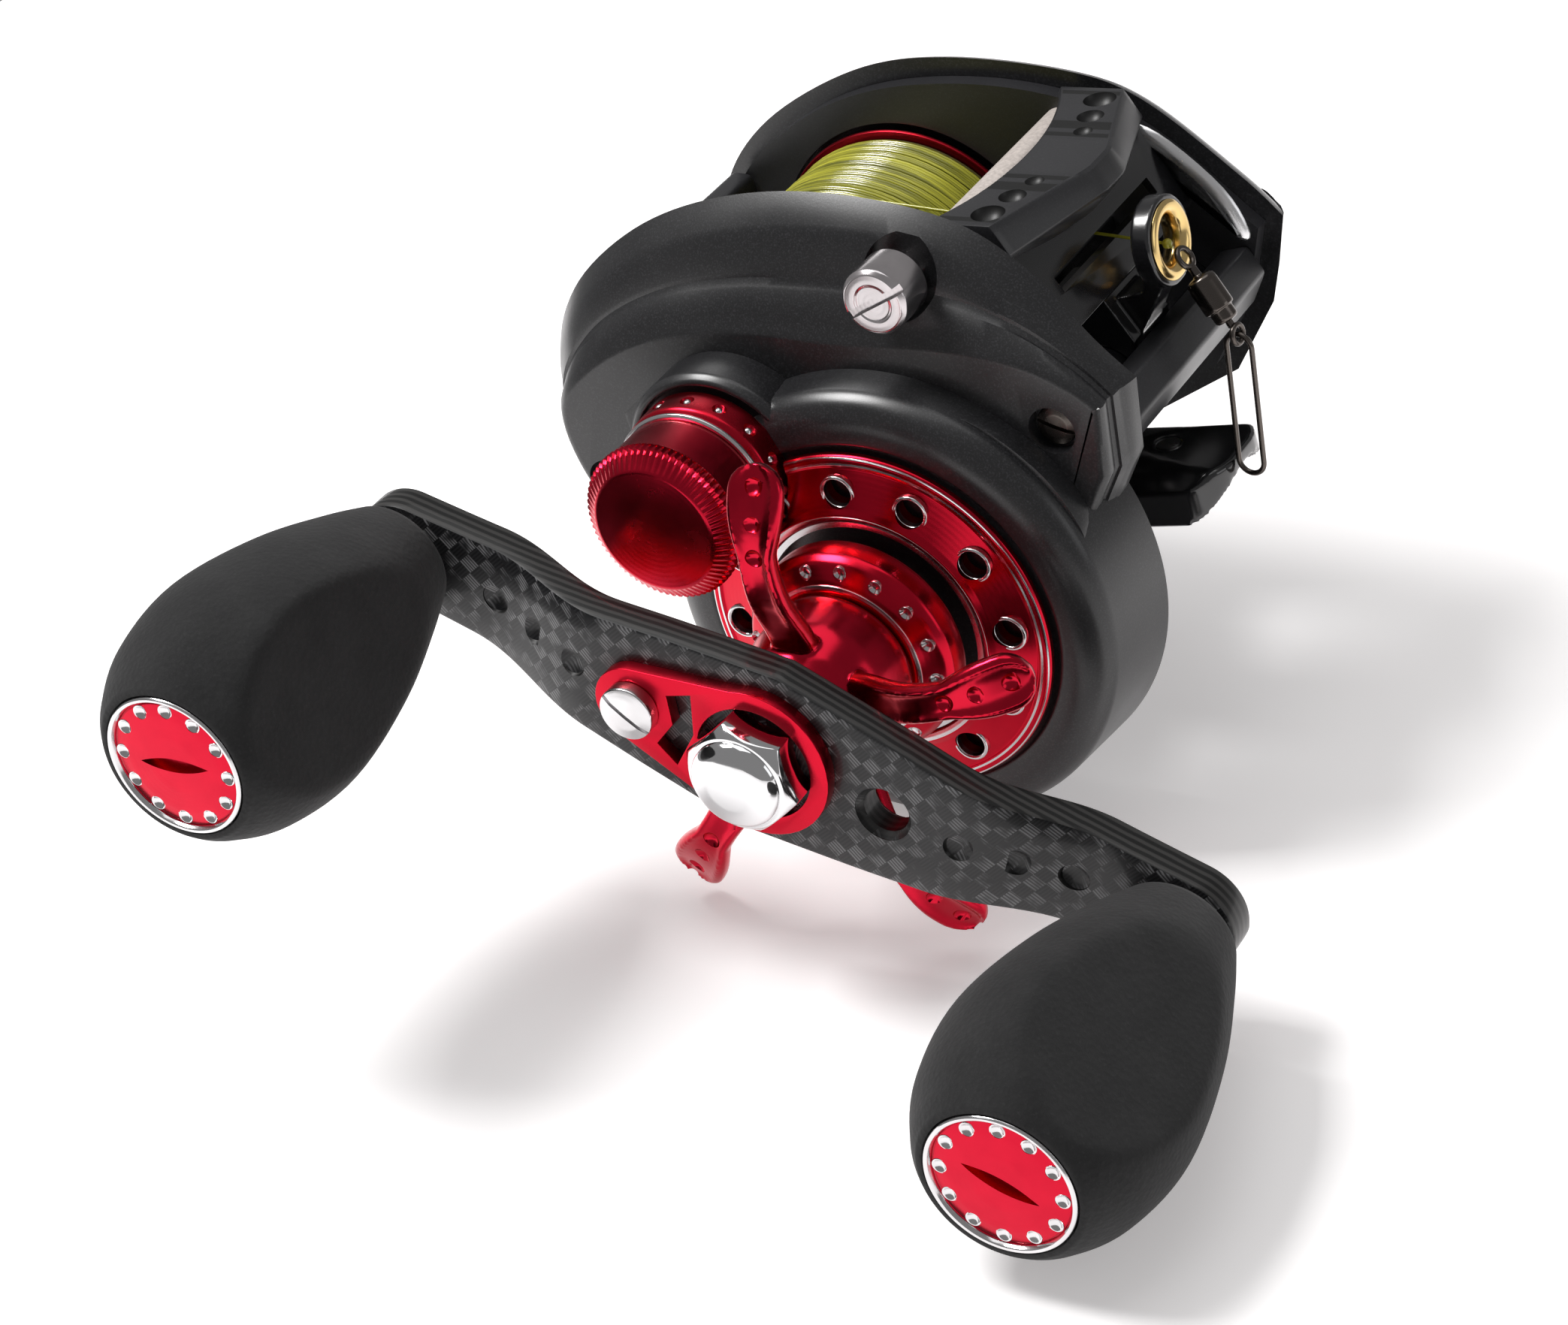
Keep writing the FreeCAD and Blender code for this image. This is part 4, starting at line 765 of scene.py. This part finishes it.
def collar():
    """The star's round collar with its ring of dimples."""
    profile = [(3.1, -35.0), (11.2, -35.0), (11.8, -35.7), (11.8, -38.4), (11.2, -39.3), (9.6, -40.1),
               (8.6, -40.5), (3.1, -40.5)]
    body = lathe("collar", profile, DRIVE, 160, ease=0.3, closed=True)
    dents, cups = [], []
    for k in range(COLLAR_DIMPLES):
        at = around(COLLAR_REACH, COLLAR_PHASE + 360 / COLLAR_DIMPLES * k)
        dents.append(drum(0.75, -42, -39.2, at, 24))
        cups.append(lathe("cup", [(0, -39.25), (0.45, -39.4), (0.74, -39.72), (0.74, -39.2)], at, 24,
                          ease=0.05))
    carve(body, dents)
    piece(body, "star", "red_anodised", "star_collar", look=turned("collar_red", DISC_RED, 0.22))
    line = [(8.75, -40.3), (8.75, -40.56), (9.15, -40.45), (9.15, -40.2)]
    cups.append(lathe("collar_line", line, DRIVE, 160, ease=0.03, closed=True))
    piece(join("collar_cups", cups), "star", "silver", look=turned("collar_silver", SILVER, 0.2))


def star_finger(angle):
    """One finger: bowed out from the hub, waisted, then round and curled at its tip."""
    path = spline([(4.0, -47.4), (9.0, -49.2), (14.0, -51.6), (18.0, -52.4), (21.5, -52.2), (25.0, -51.1),
                   (28.7, -49.4)], 5, closed=False)
    rings = []
    last = len(path) - 1
    for i, p in enumerate(path):
        a, b = path[max(i - 1, 0)], path[min(i + 1, last)]
        way = (b - a).normalized()
        out = Vector((-way.y, way.x))
        r = p.x
        wide = 2.5 if r < 8 else 2.5 + (2.0 - 2.5) * min(1.0, (r - 8) / 10)
        if r > 20:
            wide = 2.0 + 1.1 * math.sin(min(1.0, (r - 20) / 5.4) * math.pi / 2)
        if r > 26.2:
            wide = 3.1 * math.sqrt(max(0.02, 1 - ((r - 26.2) / 2.55) ** 2))
        thick = 1.25 if r < 24 else 1.25 - 0.25 * min(1.0, (r - 24) / 4.7)
        ring = []
        for k in range(36):
            t = 2 * math.pi * k / 36
            c, s = math.cos(t), math.sin(t)
            u = wide * math.copysign(abs(c) ** 0.7, c)
            v = thick * math.copysign(abs(s) ** 0.6, s)
            if s < 0 and r > 9:
                v += 0.65 * max(0.0, 1 - (u / (0.72 * wide)) ** 4) * min(1.0, (r - 9) / 4)
            ring.append((p.x + out.x * v, p.y + out.y * v, u))
        rings.append(ring)
    finger = loft("finger", rings, 60)
    finger.data.transform(Matrix.Rotation(-math.radians(angle), 4, "Y"))
    return finger


def star():
    """The red star wheel: a dished hub and five fingers under one skin."""
    hub = lathe("hub", [(0, -40.7), (8.4, -40.7), (8.5, -42.0), (8.2, -46.0), (7.3, -49.5), (5.6, -52.2),
                        (4.6, -52.8), (0, -52.8)], DRIVE, 96, ease=0.5)
    angles = [STAR_PHASE + 360 / FINGERS * k for k in range(FINGERS)]
    wheel = join("star_wheel", [hub] + [star_finger(angle) for angle in angles])
    melt(wheel, 0.22, 6)
    dents = [drum(3.06, -60, -30, DRIVE, 64)]
    for angle in angles:
        for reach, y in FINGER_DIMPLES:
            dents.append(pit([(0, y + 1.6), (0.95, y + 1.0), (1.15, y), (0, y)], around(reach, angle), 32))
    carve(wheel, dents, 50)
    piece(wheel, "star", "red_anodised", "star_drag",
          look=turned("star_red", RED, 0.2, pitch=40, strength=0.08))


# ---------------- tension cap


BASE_PINS, BASE_MIDDLE = 15, -33.2


def tension():
    """The spool's tension cap, its bright ring and its base."""
    knurl = (72, 0.3, -43.2, -41.5)
    profile = [(0, -44.3), (6.75, -44.3), (7.0, -44.2), (8.55, -43.05), (8.86, -42.6), (8.88, -41.6),
               (8.62, -41.4), (8.62, -36.6), (8.4, -36.02), (0, -36.02)]
    cap = lathe("cap_drum", profile, SPOOL, 576, ease=0.12, ripple=knurl, angle=45)
    profile = [(0, -35.95), (8.7, -35.95), (8.98, -35.8), (8.98, -35.5), (8.7, -35.42), (0, -35.42)]
    ring = lathe("cap_ring", profile, SPOOL, 128, ease=0.08)
    profile = [(0, -35.3), (8.4, -35.3), (9.15, -34.7), (9.2, -33.4), (9.2, -31.2), (0, -31.2)]
    base = lathe("cap_base", profile, SPOOL, 160, ease=0.3)
    dents, pins = [], []
    for k in range(BASE_PINS):
        angle = 12 + 360 / BASE_PINS * k
        x, z = around(9.35, angle, SPOOL)
        dents.append(ball(0.8, (x, BASE_MIDDLE, z)))
        x, z = around(8.75, angle, SPOOL)
        pins.append(ball(0.5, (x, BASE_MIDDLE, z), 10))
    carve(base, dents)
    piece(cap, "tension", "red_anodised", "tension_cap",
          look=turned("cap_red", (0.58, 0.012, 0.035), 0.24, SPOOL))
    piece(ring, "tension", "silver", "tension_ring", look=turned("ring_silver", SILVER, 0.18, SPOOL))
    piece(join("base_pins", pins), "tension", "silver", look=turned("pin_silver", SILVER, 0.2, SPOOL))
    piece(base, "tension", "red_anodised", "tension_base",
          look=turned("base_red", (0.55, 0.012, 0.03), 0.26, SPOOL))


# ---------------- handle


def arm_face(x):
    """The arm's outer face at a distance along it: level, then swept towards the reel."""
    share = min(1.0, max(0.0, (abs(x) - 19.5) / 16.0))
    return ARM_Y + ARM_SWEEP * (0.5 - 0.5 * math.cos(math.pi * share))


def arm():
    """The swept carbon arm with its lightening hole and dimples."""
    half = KNOB_REACH + ARM_END
    plan = spline([(0, 10.2), (12, 8.6), (24, 6.8), (35, 6.0), (KNOB_REACH, ARM_END)], 10, closed=False)

    def width(x):
        x = abs(x)
        if x >= KNOB_REACH:
            return math.sqrt(max(0.004, ARM_END ** 2 - (x - KNOB_REACH) ** 2))
        for a, b in zip(plan, plan[1:]):
            if a.x <= x <= b.x:
                return a.y + (b.y - a.y) * (x - a.x) / (b.x - a.x)
        return ARM_END

    stations = [-half * math.cos(math.pi * i / 160) for i in range(161)]
    rings = []
    for x in stations:
        y = arm_face(x)
        w = width(x)
        cut = min(0.45, w * 0.4)
        line = [(-w, y + cut), (-w + cut * 0.3, y + cut * 0.3), (-w + cut, y), (-w * 0.5, y), (0, y),
                (w * 0.5, y), (w - cut, y), (w - cut * 0.3, y + cut * 0.3), (w, y + cut)]
        line += [(z, 2 * y + ARM_THICK - v) for z, v in reversed(line)]
        rings.append([(x, v, z) for z, v in line])
    bar = loft("arm", rings, 30)
    through = (-70, -45)
    hole = [(0, through[0]), (3.1, through[0]), (3.1, ARM_Y + 0.1), (2.5, ARM_Y + 0.8), (2.5, ARM_Y + 3.3),
            (3.0, ARM_Y + 3.9), (3.0, through[1]), (0, through[1])]
    cutters = [pit(hole, (KEEPER_REACH, 0), 48), drum(2.41, *through, DRIVE)]
    cutters += [drum(2.31, *through, (s * KNOB_REACH, 0)) for s in (-1, 1)]
    for s in (-1, 1):
        for reach in (22.3, 28.0, 33.5):
            y = arm_face(reach)
            dimple = [(0, y + 1.1), (1.5, y + 0.25), (1.75, y - 0.4), (0, y - 0.4)]
            cutters.append(pit(dimple, (s * reach, 0), 32))
    carve(bar, cutters, 30)
    piece(turn(bar), "handle", "carbon", "handle_arm")


def arm_hardware():
    """The keeper plate, the domed nut and the keeper's screw."""
    on_arm = ARM_Y - 0.03
    screw_at = (-KEEPER_REACH, 0)
    outline = [around(KEEPER_R, a) for a in range(-122, 123, 8)]
    outline += [around(KEEPER_TAIL_R, a, screw_at) for a in range(110, 251, 10)]
    holes = [drum(6.42, -70, -50, DRIVE, 64), drum(1.7, -70, -50, screw_at, 32)]
    line = [(-8.0, -4.7), (-10.6, -3.2), (-9.3, 0), (-10.6, 3.2), (-8.0, 4.7), (-6.9, 0)]
    window = plate("slot", line, -70, -50, 0)
    keeper = plate("keeper_plate", outline, ARM_Y - 1.62, on_arm, 0.3, holes + [window])
    piece(turn(keeper), "handle", "red_anodised", "nut_keeper", look=polished("keeper_red", DISC_RED, 0.24))
    top = ARM_Y - 5.2
    corners = [around(NUT_SIZE / math.sqrt(3), 60 * k) for k in range(6)]
    hexagon = plate("nut_body", corners, top, on_arm, 0)
    chamfer = [(5.3, top - 1), (5.3, top), (6.4, top + 1.3), (12, top + 1.3), (12, top - 1)]
    crop = lathe("crop", chamfer, DRIVE, 96, ease=0, closed=True)
    carve(hexagon, [crop])
    bevel(hexagon, 0.15, 2, 30)
    dome = lathe("nut_dome", [(0, ARM_Y - 6.95), (2.6, ARM_Y - 6.9), (4.1, ARM_Y - 6.4), (4.9, ARM_Y - 5.6),
                              (5.0, top + 0.4), (0, top + 0.4)], DRIVE, 96, ease=0.6)
    nut = join("nut", [hexagon, dome])
    piece(turn(nut), "handle", "chrome", "handle_nut")
    screw = slotted_screw("keeper_head", screw_at, ARM_Y - 3.45, 3.0, deep=0.55, tilt=20, thick=1.75)
    shank = drum(1.5, ARM_Y - 2, ARM_Y, screw_at, 32)
    axis = (-KEEPER_REACH * math.cos(CRANK), KEEPER_REACH * math.sin(CRANK))
    piece(turn(join("keeper_screw_head", [screw, shank])), "handle", "silver", "keeper_screw",
          look=turned("screw_silver", SILVER, 0.2, axis))


FLAT_TURN = {1: 37.0, -1: 2.0}
FLAT_REACH, FLAT_SHARPNESS = 9.5, 44
SLOT_TURN = {1: 32.0, -1: 8.0}
SLOT_HALF = 4.1
CAP_CUPS, CAP_CUP_REACH = 12, 6.15


def knob(sign, name):
    """An egg-shaped foam grip with two soft flats, its red end cap and bright rim."""
    centre = (sign * KNOB_REACH * math.cos(CRANK), -sign * KNOB_REACH * math.sin(CRANK))
    marks = spline([(6.4, 0.0), (8.6, 0.14), (11.4, 0.36), (13.15, 0.62), (12.2, 0.82), (10.1, 0.94),
                    (8.75, 0.985)], 7, closed=False)
    face = math.radians(FLAT_TURN[sign])
    rings = []
    steps = 120
    line = [(4.1, 0.0), (5.9, 0.0), (6.25, 0.006)] + marks[1:]
    line += [(8.45, 0.992), (7.95, 0.992), (7.85, 0.975), (7.85, 0.93)]
    for r, t in line:
        y = GRIP_Y - GRIP_LENGTH * t
        ring = []
        for k in range(steps):
            a = 2 * math.pi * k / steps
            lean = abs(math.cos(a - face))
            reach = r
            if r > 8.0 and lean > 0.2:
                limit = FLAT_REACH / lean
                reach = (r ** -FLAT_SHARPNESS + limit ** -FLAT_SHARPNESS) ** (-1 / FLAT_SHARPNESS)
            ring.append((centre[0] + reach * math.cos(a), y, centre[1] + reach * math.sin(a)))
        rings.append(ring)
    grip = loft(name + "_foam", rings, 50, capped=False)
    piece(grip, name, "foam", name + "_grip")
    end = GRIP_Y - GRIP_LENGTH
    cap = lathe(name + "_disc", [(0, end + 0.28), (3.0, end + 0.3), (5.4, end + 0.42), (7.05, end + 0.62),
                                 (7.4, end + 1.2), (7.4, end + 3.0), (0, end + 3.0)], centre, 128, ease=0.3)
    rim = lathe(name + "_rim", [(7.1, end + 0.55), (7.3, end + 0.12), (7.62, end + 0.05), (7.79, end + 0.3),
                                (7.79, end + 2.8), (7.1, end + 2.8)], centre, 128, ease=0.1, closed=True)
    dents, cups = [], []
    for k in range(CAP_CUPS):
        at = around(CAP_CUP_REACH, 15 + 360 / CAP_CUPS * k - math.degrees(CRANK), centre)
        dents.append(pit([(0, end + 1.15), (0.72, end + 0.5), (0.8, end - 0.5), (0, end - 0.5)], at, 24))
        cup = [(0, end + 1.12), (0.66, end + 0.52), (0.8, end + 0.46), (0.84, end + 0.6)]
        cups.append(lathe("cup", cup, at, 24, ease=0.05))
    lens = []
    for s in (1, -1):
        for k in range(12):
            x = SLOT_HALF * s * (1 - 2 * k / 12)
            lens.append((x, s * 0.78 * (1 - (x / SLOT_HALF) ** 2)))
    slot = put(plate("slot", lens, end - 1, end + 1.2, 0), centre, SLOT_TURN[sign])
    carve(cap, dents + [slot])
    piece(cap, name, "red_anodised", name + "_cap", look=turned(name + "_red", RED, 0.22, centre))
    bright = join(name + "_bright", [rim] + cups)
    piece(bright, name, "silver", look=turned(name + "_silver", SILVER, 0.14, centre))


# ---------------- spool, line and guide


def spool_parts():
    """Red flanges and the strands of the wound line."""
    edge = 16.1
    flange = [(9.0, -edge), (15.9, -edge), (16.5, -edge + 0.1), (16.68, -edge + 0.35), (16.55, -edge + 0.72),
              (9.0, -edge + 0.8)]
    parts = [lathe("flange", [(r, s * y) for r, y in flange], SPOOL, 160, ease=0.12, closed=True)
             for s in (1, -1)]
    inner = edge - 0.02
    hub = lathe("hub", [(1.52, -inner), (9.01, -inner), (9.01, inner), (1.52, inner)], SPOOL, 96, ease=0.02,
                closed=True)
    piece(join("spool_body", parts + [hub]), "spool", "spool_red", "spool")
    # The core under the strands is painted dark olive: painted shade for the gaps between the strands.
    pack = lathe("line_core", [(9.05, -15.2), (15.75, -15.2), (15.75, 15.2), (9.05, 15.2)], SPOOL, 160,
                 ease=0.1, closed=True)
    strands = [wound_strand()] + loose_strands()
    piece(join("wound_line", strands), "spool", "line")
    piece(pack, "spool", "line", "line_pack", look=plain("line_shade", (0.07, 0.07, 0.012), 0.6))


LINE_R, LINE_HALF, LINE_PITCH = 15.9, 15.0, 0.43
LOOSE_STRANDS = 9


def wound_strand():
    """The top layer: one strand, turn by turn across the spool."""
    turns = int(2 * LINE_HALF / LINE_PITCH)
    steps = 60
    path = []
    for i in range(turns * steps + 1):
        share = i / steps
        y = -LINE_HALF + LINE_PITCH * share
        reach = LINE_R + 0.05 * math.sin(share * 1.7) + 0.03 * math.sin(share * 11.3)
        x, z = around(reach, 360 * share, SPOOL)
        path.append((x, y + 0.05 * math.sin(share * 2.3), z))
    return tube("line_strands", path, 0.18, 6)


def loose_strands():
    """A few strands that cross the others."""
    loose = []
    for k in range(LOOSE_STRANDS):
        start = random.uniform(0, 360)
        y0 = random.uniform(-13.5, 12.0) if k > 3 else random.uniform(-14.0, -9.0)
        slope = random.uniform(0.8, 4.5) * random.choice((-1, 1))
        points = []
        for i in range(70):
            a = start + 300 * i / 69
            lift = 16.05 - 0.25 * (abs(i / 34.5 - 1) ** 6)
            x, z = around(lift, a, SPOOL)
            points.append((x, max(-14.9, min(14.9, y0 + slope * i / 69)), z))
        loose.append(tube("strand", points, 0.16, 6))
    return loose


def guide():
    """The flared gold ring."""
    low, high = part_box("guide_ring")
    centre = (low + high) / 2 / MM
    half = (high.x - low.x) / 2 / MM
    flange = [(2.75, half * 0.75), (3.3, half + 0.12), (3.9, half + 0.08), (4.25, half - 0.12),
              (4.25, half - 0.26)]
    outside = [(3.58, half - 0.26), (3.58, 0.26 - half)]
    profile = outside + [(r, -y) for r, y in reversed(flange)] + [(2.45, 0)] + flange
    ring = lathe("gold_ring", profile, DRIVE, 96, ease=0.3, closed=True)
    ring.data.transform(Matrix.Translation(centre * MM) @ Matrix.Rotation(math.radians(90), 4, "Z"))
    piece(ring, "line_guide", "gold", "guide_ring")


SWIVEL_TOP = Vector((28.6, -0.7, 24.4))
SWIVEL_WAY = Vector((0.44, -0.12, -0.89)).normalized()
SNAP_TOP = SWIVEL_TOP + SWIVEL_WAY * 9.6
SNAP_END = Vector((30.3, -2.2, -0.3))
SNAP_SIDE = Vector((0.94, -0.10, 0.0)).normalized()


def hoop(name, centre, radius, wire, normal):
    """A ring of bent wire."""
    side = normal.orthogonal().normalized()
    return tube(name, circle(centre, side, normal.cross(side), radius, 32), wire, 12, closed=True)


def spindle_shape(name, start, way, profile, steps=40):
    """A turned body along any direction, from (distance, radius) pairs."""
    side = way.orthogonal().normalized()
    rings = [circle(start + way * along, side, way.cross(side), max(radius, 0.01), steps)
             for along, radius in rounded(profile, 0.2)]
    return loft(name, rings, 40)


def swivel():
    """The barrel swivel, its lower eye and the snap."""
    normal = SWIVEL_WAY.cross(Vector((0, 1, 0))).normalized()
    profile = [(1.1, 0.45), (2.3, 0.5), (2.45, 1.25), (2.75, 1.62), (3.2, 1.69), (6.2, 1.69), (6.4, 1.62),
               (6.45, 1.32), (7.6, 1.3), (7.85, 1.12), (8.0, 0.5)]
    barrel = spindle_shape("barrel", SWIVEL_TOP, SWIVEL_WAY, profile)
    upper = hoop("upper_eye", SWIVEL_TOP, 1.1, 0.32, normal)
    piece(join("swivel_body", [barrel, upper]), "swivel", "dark_steel", "swivel_barrel")
    lower = hoop("lower_eye", SNAP_TOP, 1.0, 0.3, SNAP_SIDE)
    stem = tube("stem", [SWIVEL_TOP + SWIVEL_WAY * along for along in (6.0, 7.5, 8.65)], 0.42, 16)
    piece(join("swivel_tail", [lower, stem]), "swivel_eye", "dark_steel", "swivel_lower_eye")
    way = (SNAP_END - SNAP_TOP).normalized()
    flat = way.cross(SNAP_SIDE).normalized()
    cross = flat.cross(way).normalized()
    length = (SNAP_END - SNAP_TOP).length
    bend = 1.5
    points = []
    for middle, side in ((bend, -1), (length - bend, 1)):
        for k in range(17):
            a = math.pi * k / 16
            along = middle + side * bend * math.sin(a)
            points.append(SNAP_TOP + way * along - cross * side * bend * math.cos(a))
    wire = tube("snap_wire", points, 0.3, 12, closed=True)
    piece(wire, "snap", "dark_steel", "line_snap")


def softened(node, body, slot, voxel, rounds):
    """A CAD node's own shape under one soft skin."""
    obj = bpy.data.objects.new(node + "_soft", frame["nodes"][node].data.copy())
    obj.data.materials.clear()
    bpy.context.scene.collection.objects.link(obj)
    melt(obj, voxel, rounds)
    piece(obj, body, slot, node)


def thumb_bar():
    """The clutch bar behind the spool, with soft edges."""
    line = [(-37.6, 20.0), (-38.4, 26.0), (-35.6, 31.2), (-33.0, 30.6), (-33.2, 28.0), (-35.0, 26.0),
            (-35.4, 20.0)]
    bar = plate("thumb_pad", rounded(line, 0.8, closed=True), -16.1, 16.1, 0.3)
    piece(bar, "clutch_bar", "satin_black", "thumb_bar")


# ---------------- stage, light and camera

CAMERA_AT = (226.065, -336.999, 181.780)
CAMERA_RIGHT = Vector((0.82977209, 0.47320739, -0.29589363))
CAMERA_UP = Vector((0.00508226, 0.52374927, 0.85185731))
CAMERA_BACK = Vector((0.55807925, -0.70835123, 0.43218757))
LENS, SHIFT = 92.645, (0.00288, -0.00453)
LIGHT_AIM = Vector((0, -35, 5)) * MM
FLOOR_NORMAL = Vector((0.2028, 0.0, 0.9792))
FLOOR_DROP = 26.8


def stage():
    """A pale floor that touches the gearbox boss and the front knob."""
    look = Look("floor", (0.93, 0.925, 0.925), roughness=0.62, Specular_IOR_Level=0.2)
    grain = look.noise(look.where(), 60, 5.0)
    look.drive("Base Color", look.tint(grain, (0.92, 0.912, 0.912), (0.94, 0.936, 0.936)))
    centre = FLOOR_NORMAL * -FLOOR_DROP
    along = Vector((FLOOR_NORMAL.z, 0, -FLOOR_NORMAL.x))
    reach = ((-250, -700), (900, -700), (900, 900), (-250, 900))
    corners = [centre + along * u + Vector((0, v, 0)) for u, v in reach]
    look.set("Emission Color", (1.0, 0.965, 0.965, 1))
    look.set("Emission Strength", 0.34)
    floor = make("floor", corners, [(0, 1, 2, 3)])
    floor.data.materials.append(look.material)
    if floor.data.polygons[0].normal.z < 0:
        floor.data.flip_normals()


def softbox(name, direction, distance, size, power, colour=(1, 1, 1)):
    """An area light that faces the reel."""
    data = bpy.data.lights.new(name, "AREA")
    data.shape = "SQUARE"
    data.size = size
    data.energy = power
    data.color = colour
    light = bpy.data.objects.new(name, data)
    bpy.context.scene.collection.objects.link(light)
    light.location = LIGHT_AIM + direction.normalized() * distance
    light.rotation_euler = direction.to_track_quat("Z", "Y").to_euler()


def lights():
    """A key from the upper left, a soft top, a weak fill and a dim world."""
    key = CAMERA_RIGHT * -0.62 + CAMERA_UP * 0.72 + CAMERA_BACK * 0.30
    softbox("key", key, 0.75, 0.26, 5.6, (1.0, 0.99, 0.985))
    softbox("top", FLOOR_NORMAL + CAMERA_BACK * -0.2, 0.8, 0.6, 1.3)
    fill = CAMERA_RIGHT * 0.8 + CAMERA_BACK * 0.5 + CAMERA_UP * 0.15
    softbox("fill", fill, 0.9, 0.4, 0.5, (0.97, 0.98, 1.0))
    world = bpy.data.worlds.new("studio")
    world.use_nodes = True
    background = next(n for n in world.node_tree.nodes if n.type == "BACKGROUND")
    background.inputs["Color"].default_value = (1.0, 0.99, 0.99, 1)
    background.inputs["Strength"].default_value = 0.24
    bpy.context.scene.world = world


def camera():
    """The photograph's view of the reel."""
    data = bpy.data.cameras.new("camera")
    data.lens, data.sensor_width = LENS, 36.0
    data.shift_x, data.shift_y = SHIFT
    data.clip_start, data.clip_end = 0.01, 10.0
    obj = bpy.data.objects.new("camera", data)
    bpy.context.scene.collection.objects.link(obj)
    turn_to = Matrix((CAMERA_RIGHT, CAMERA_UP, CAMERA_BACK)).transposed().to_4x4()
    obj.matrix_world = Matrix.Translation(Vector(CAMERA_AT) * MM) @ turn_to
    bpy.context.scene.camera = obj
    bpy.context.scene.view_settings.view_transform = "Standard"
    bpy.context.scene.view_settings.look = "None"


def dress_frame():
    """Gives every CAD node the look of its slot."""
    slots = {part["node"]: part["material_slot"] for part in frame["record"]["subparts"]}
    for name, obj in frame["nodes"].items():
        obj.data.materials.clear()
        obj.data.materials.append(LOOKS[slots[name]])


dress_frame()
gear_cover()
palm_cover()
cover_hardware()
front_hood()
front_bar()
front_trim()
cross_bar()
shield()
vented_disc()
collar()
star()
tension()
arm()
arm_hardware()
knob(1, "front_knob")
knob(-1, "rear_knob")
spool_parts()
guide()
swivel()
thumb_bar()
softened("reel_foot", "reel_body", "foot_black", 0.28, 7)
softened("guide_carriage", "line_guide", "inner_black", 0.2, 4)
stage()
lights()
camera()
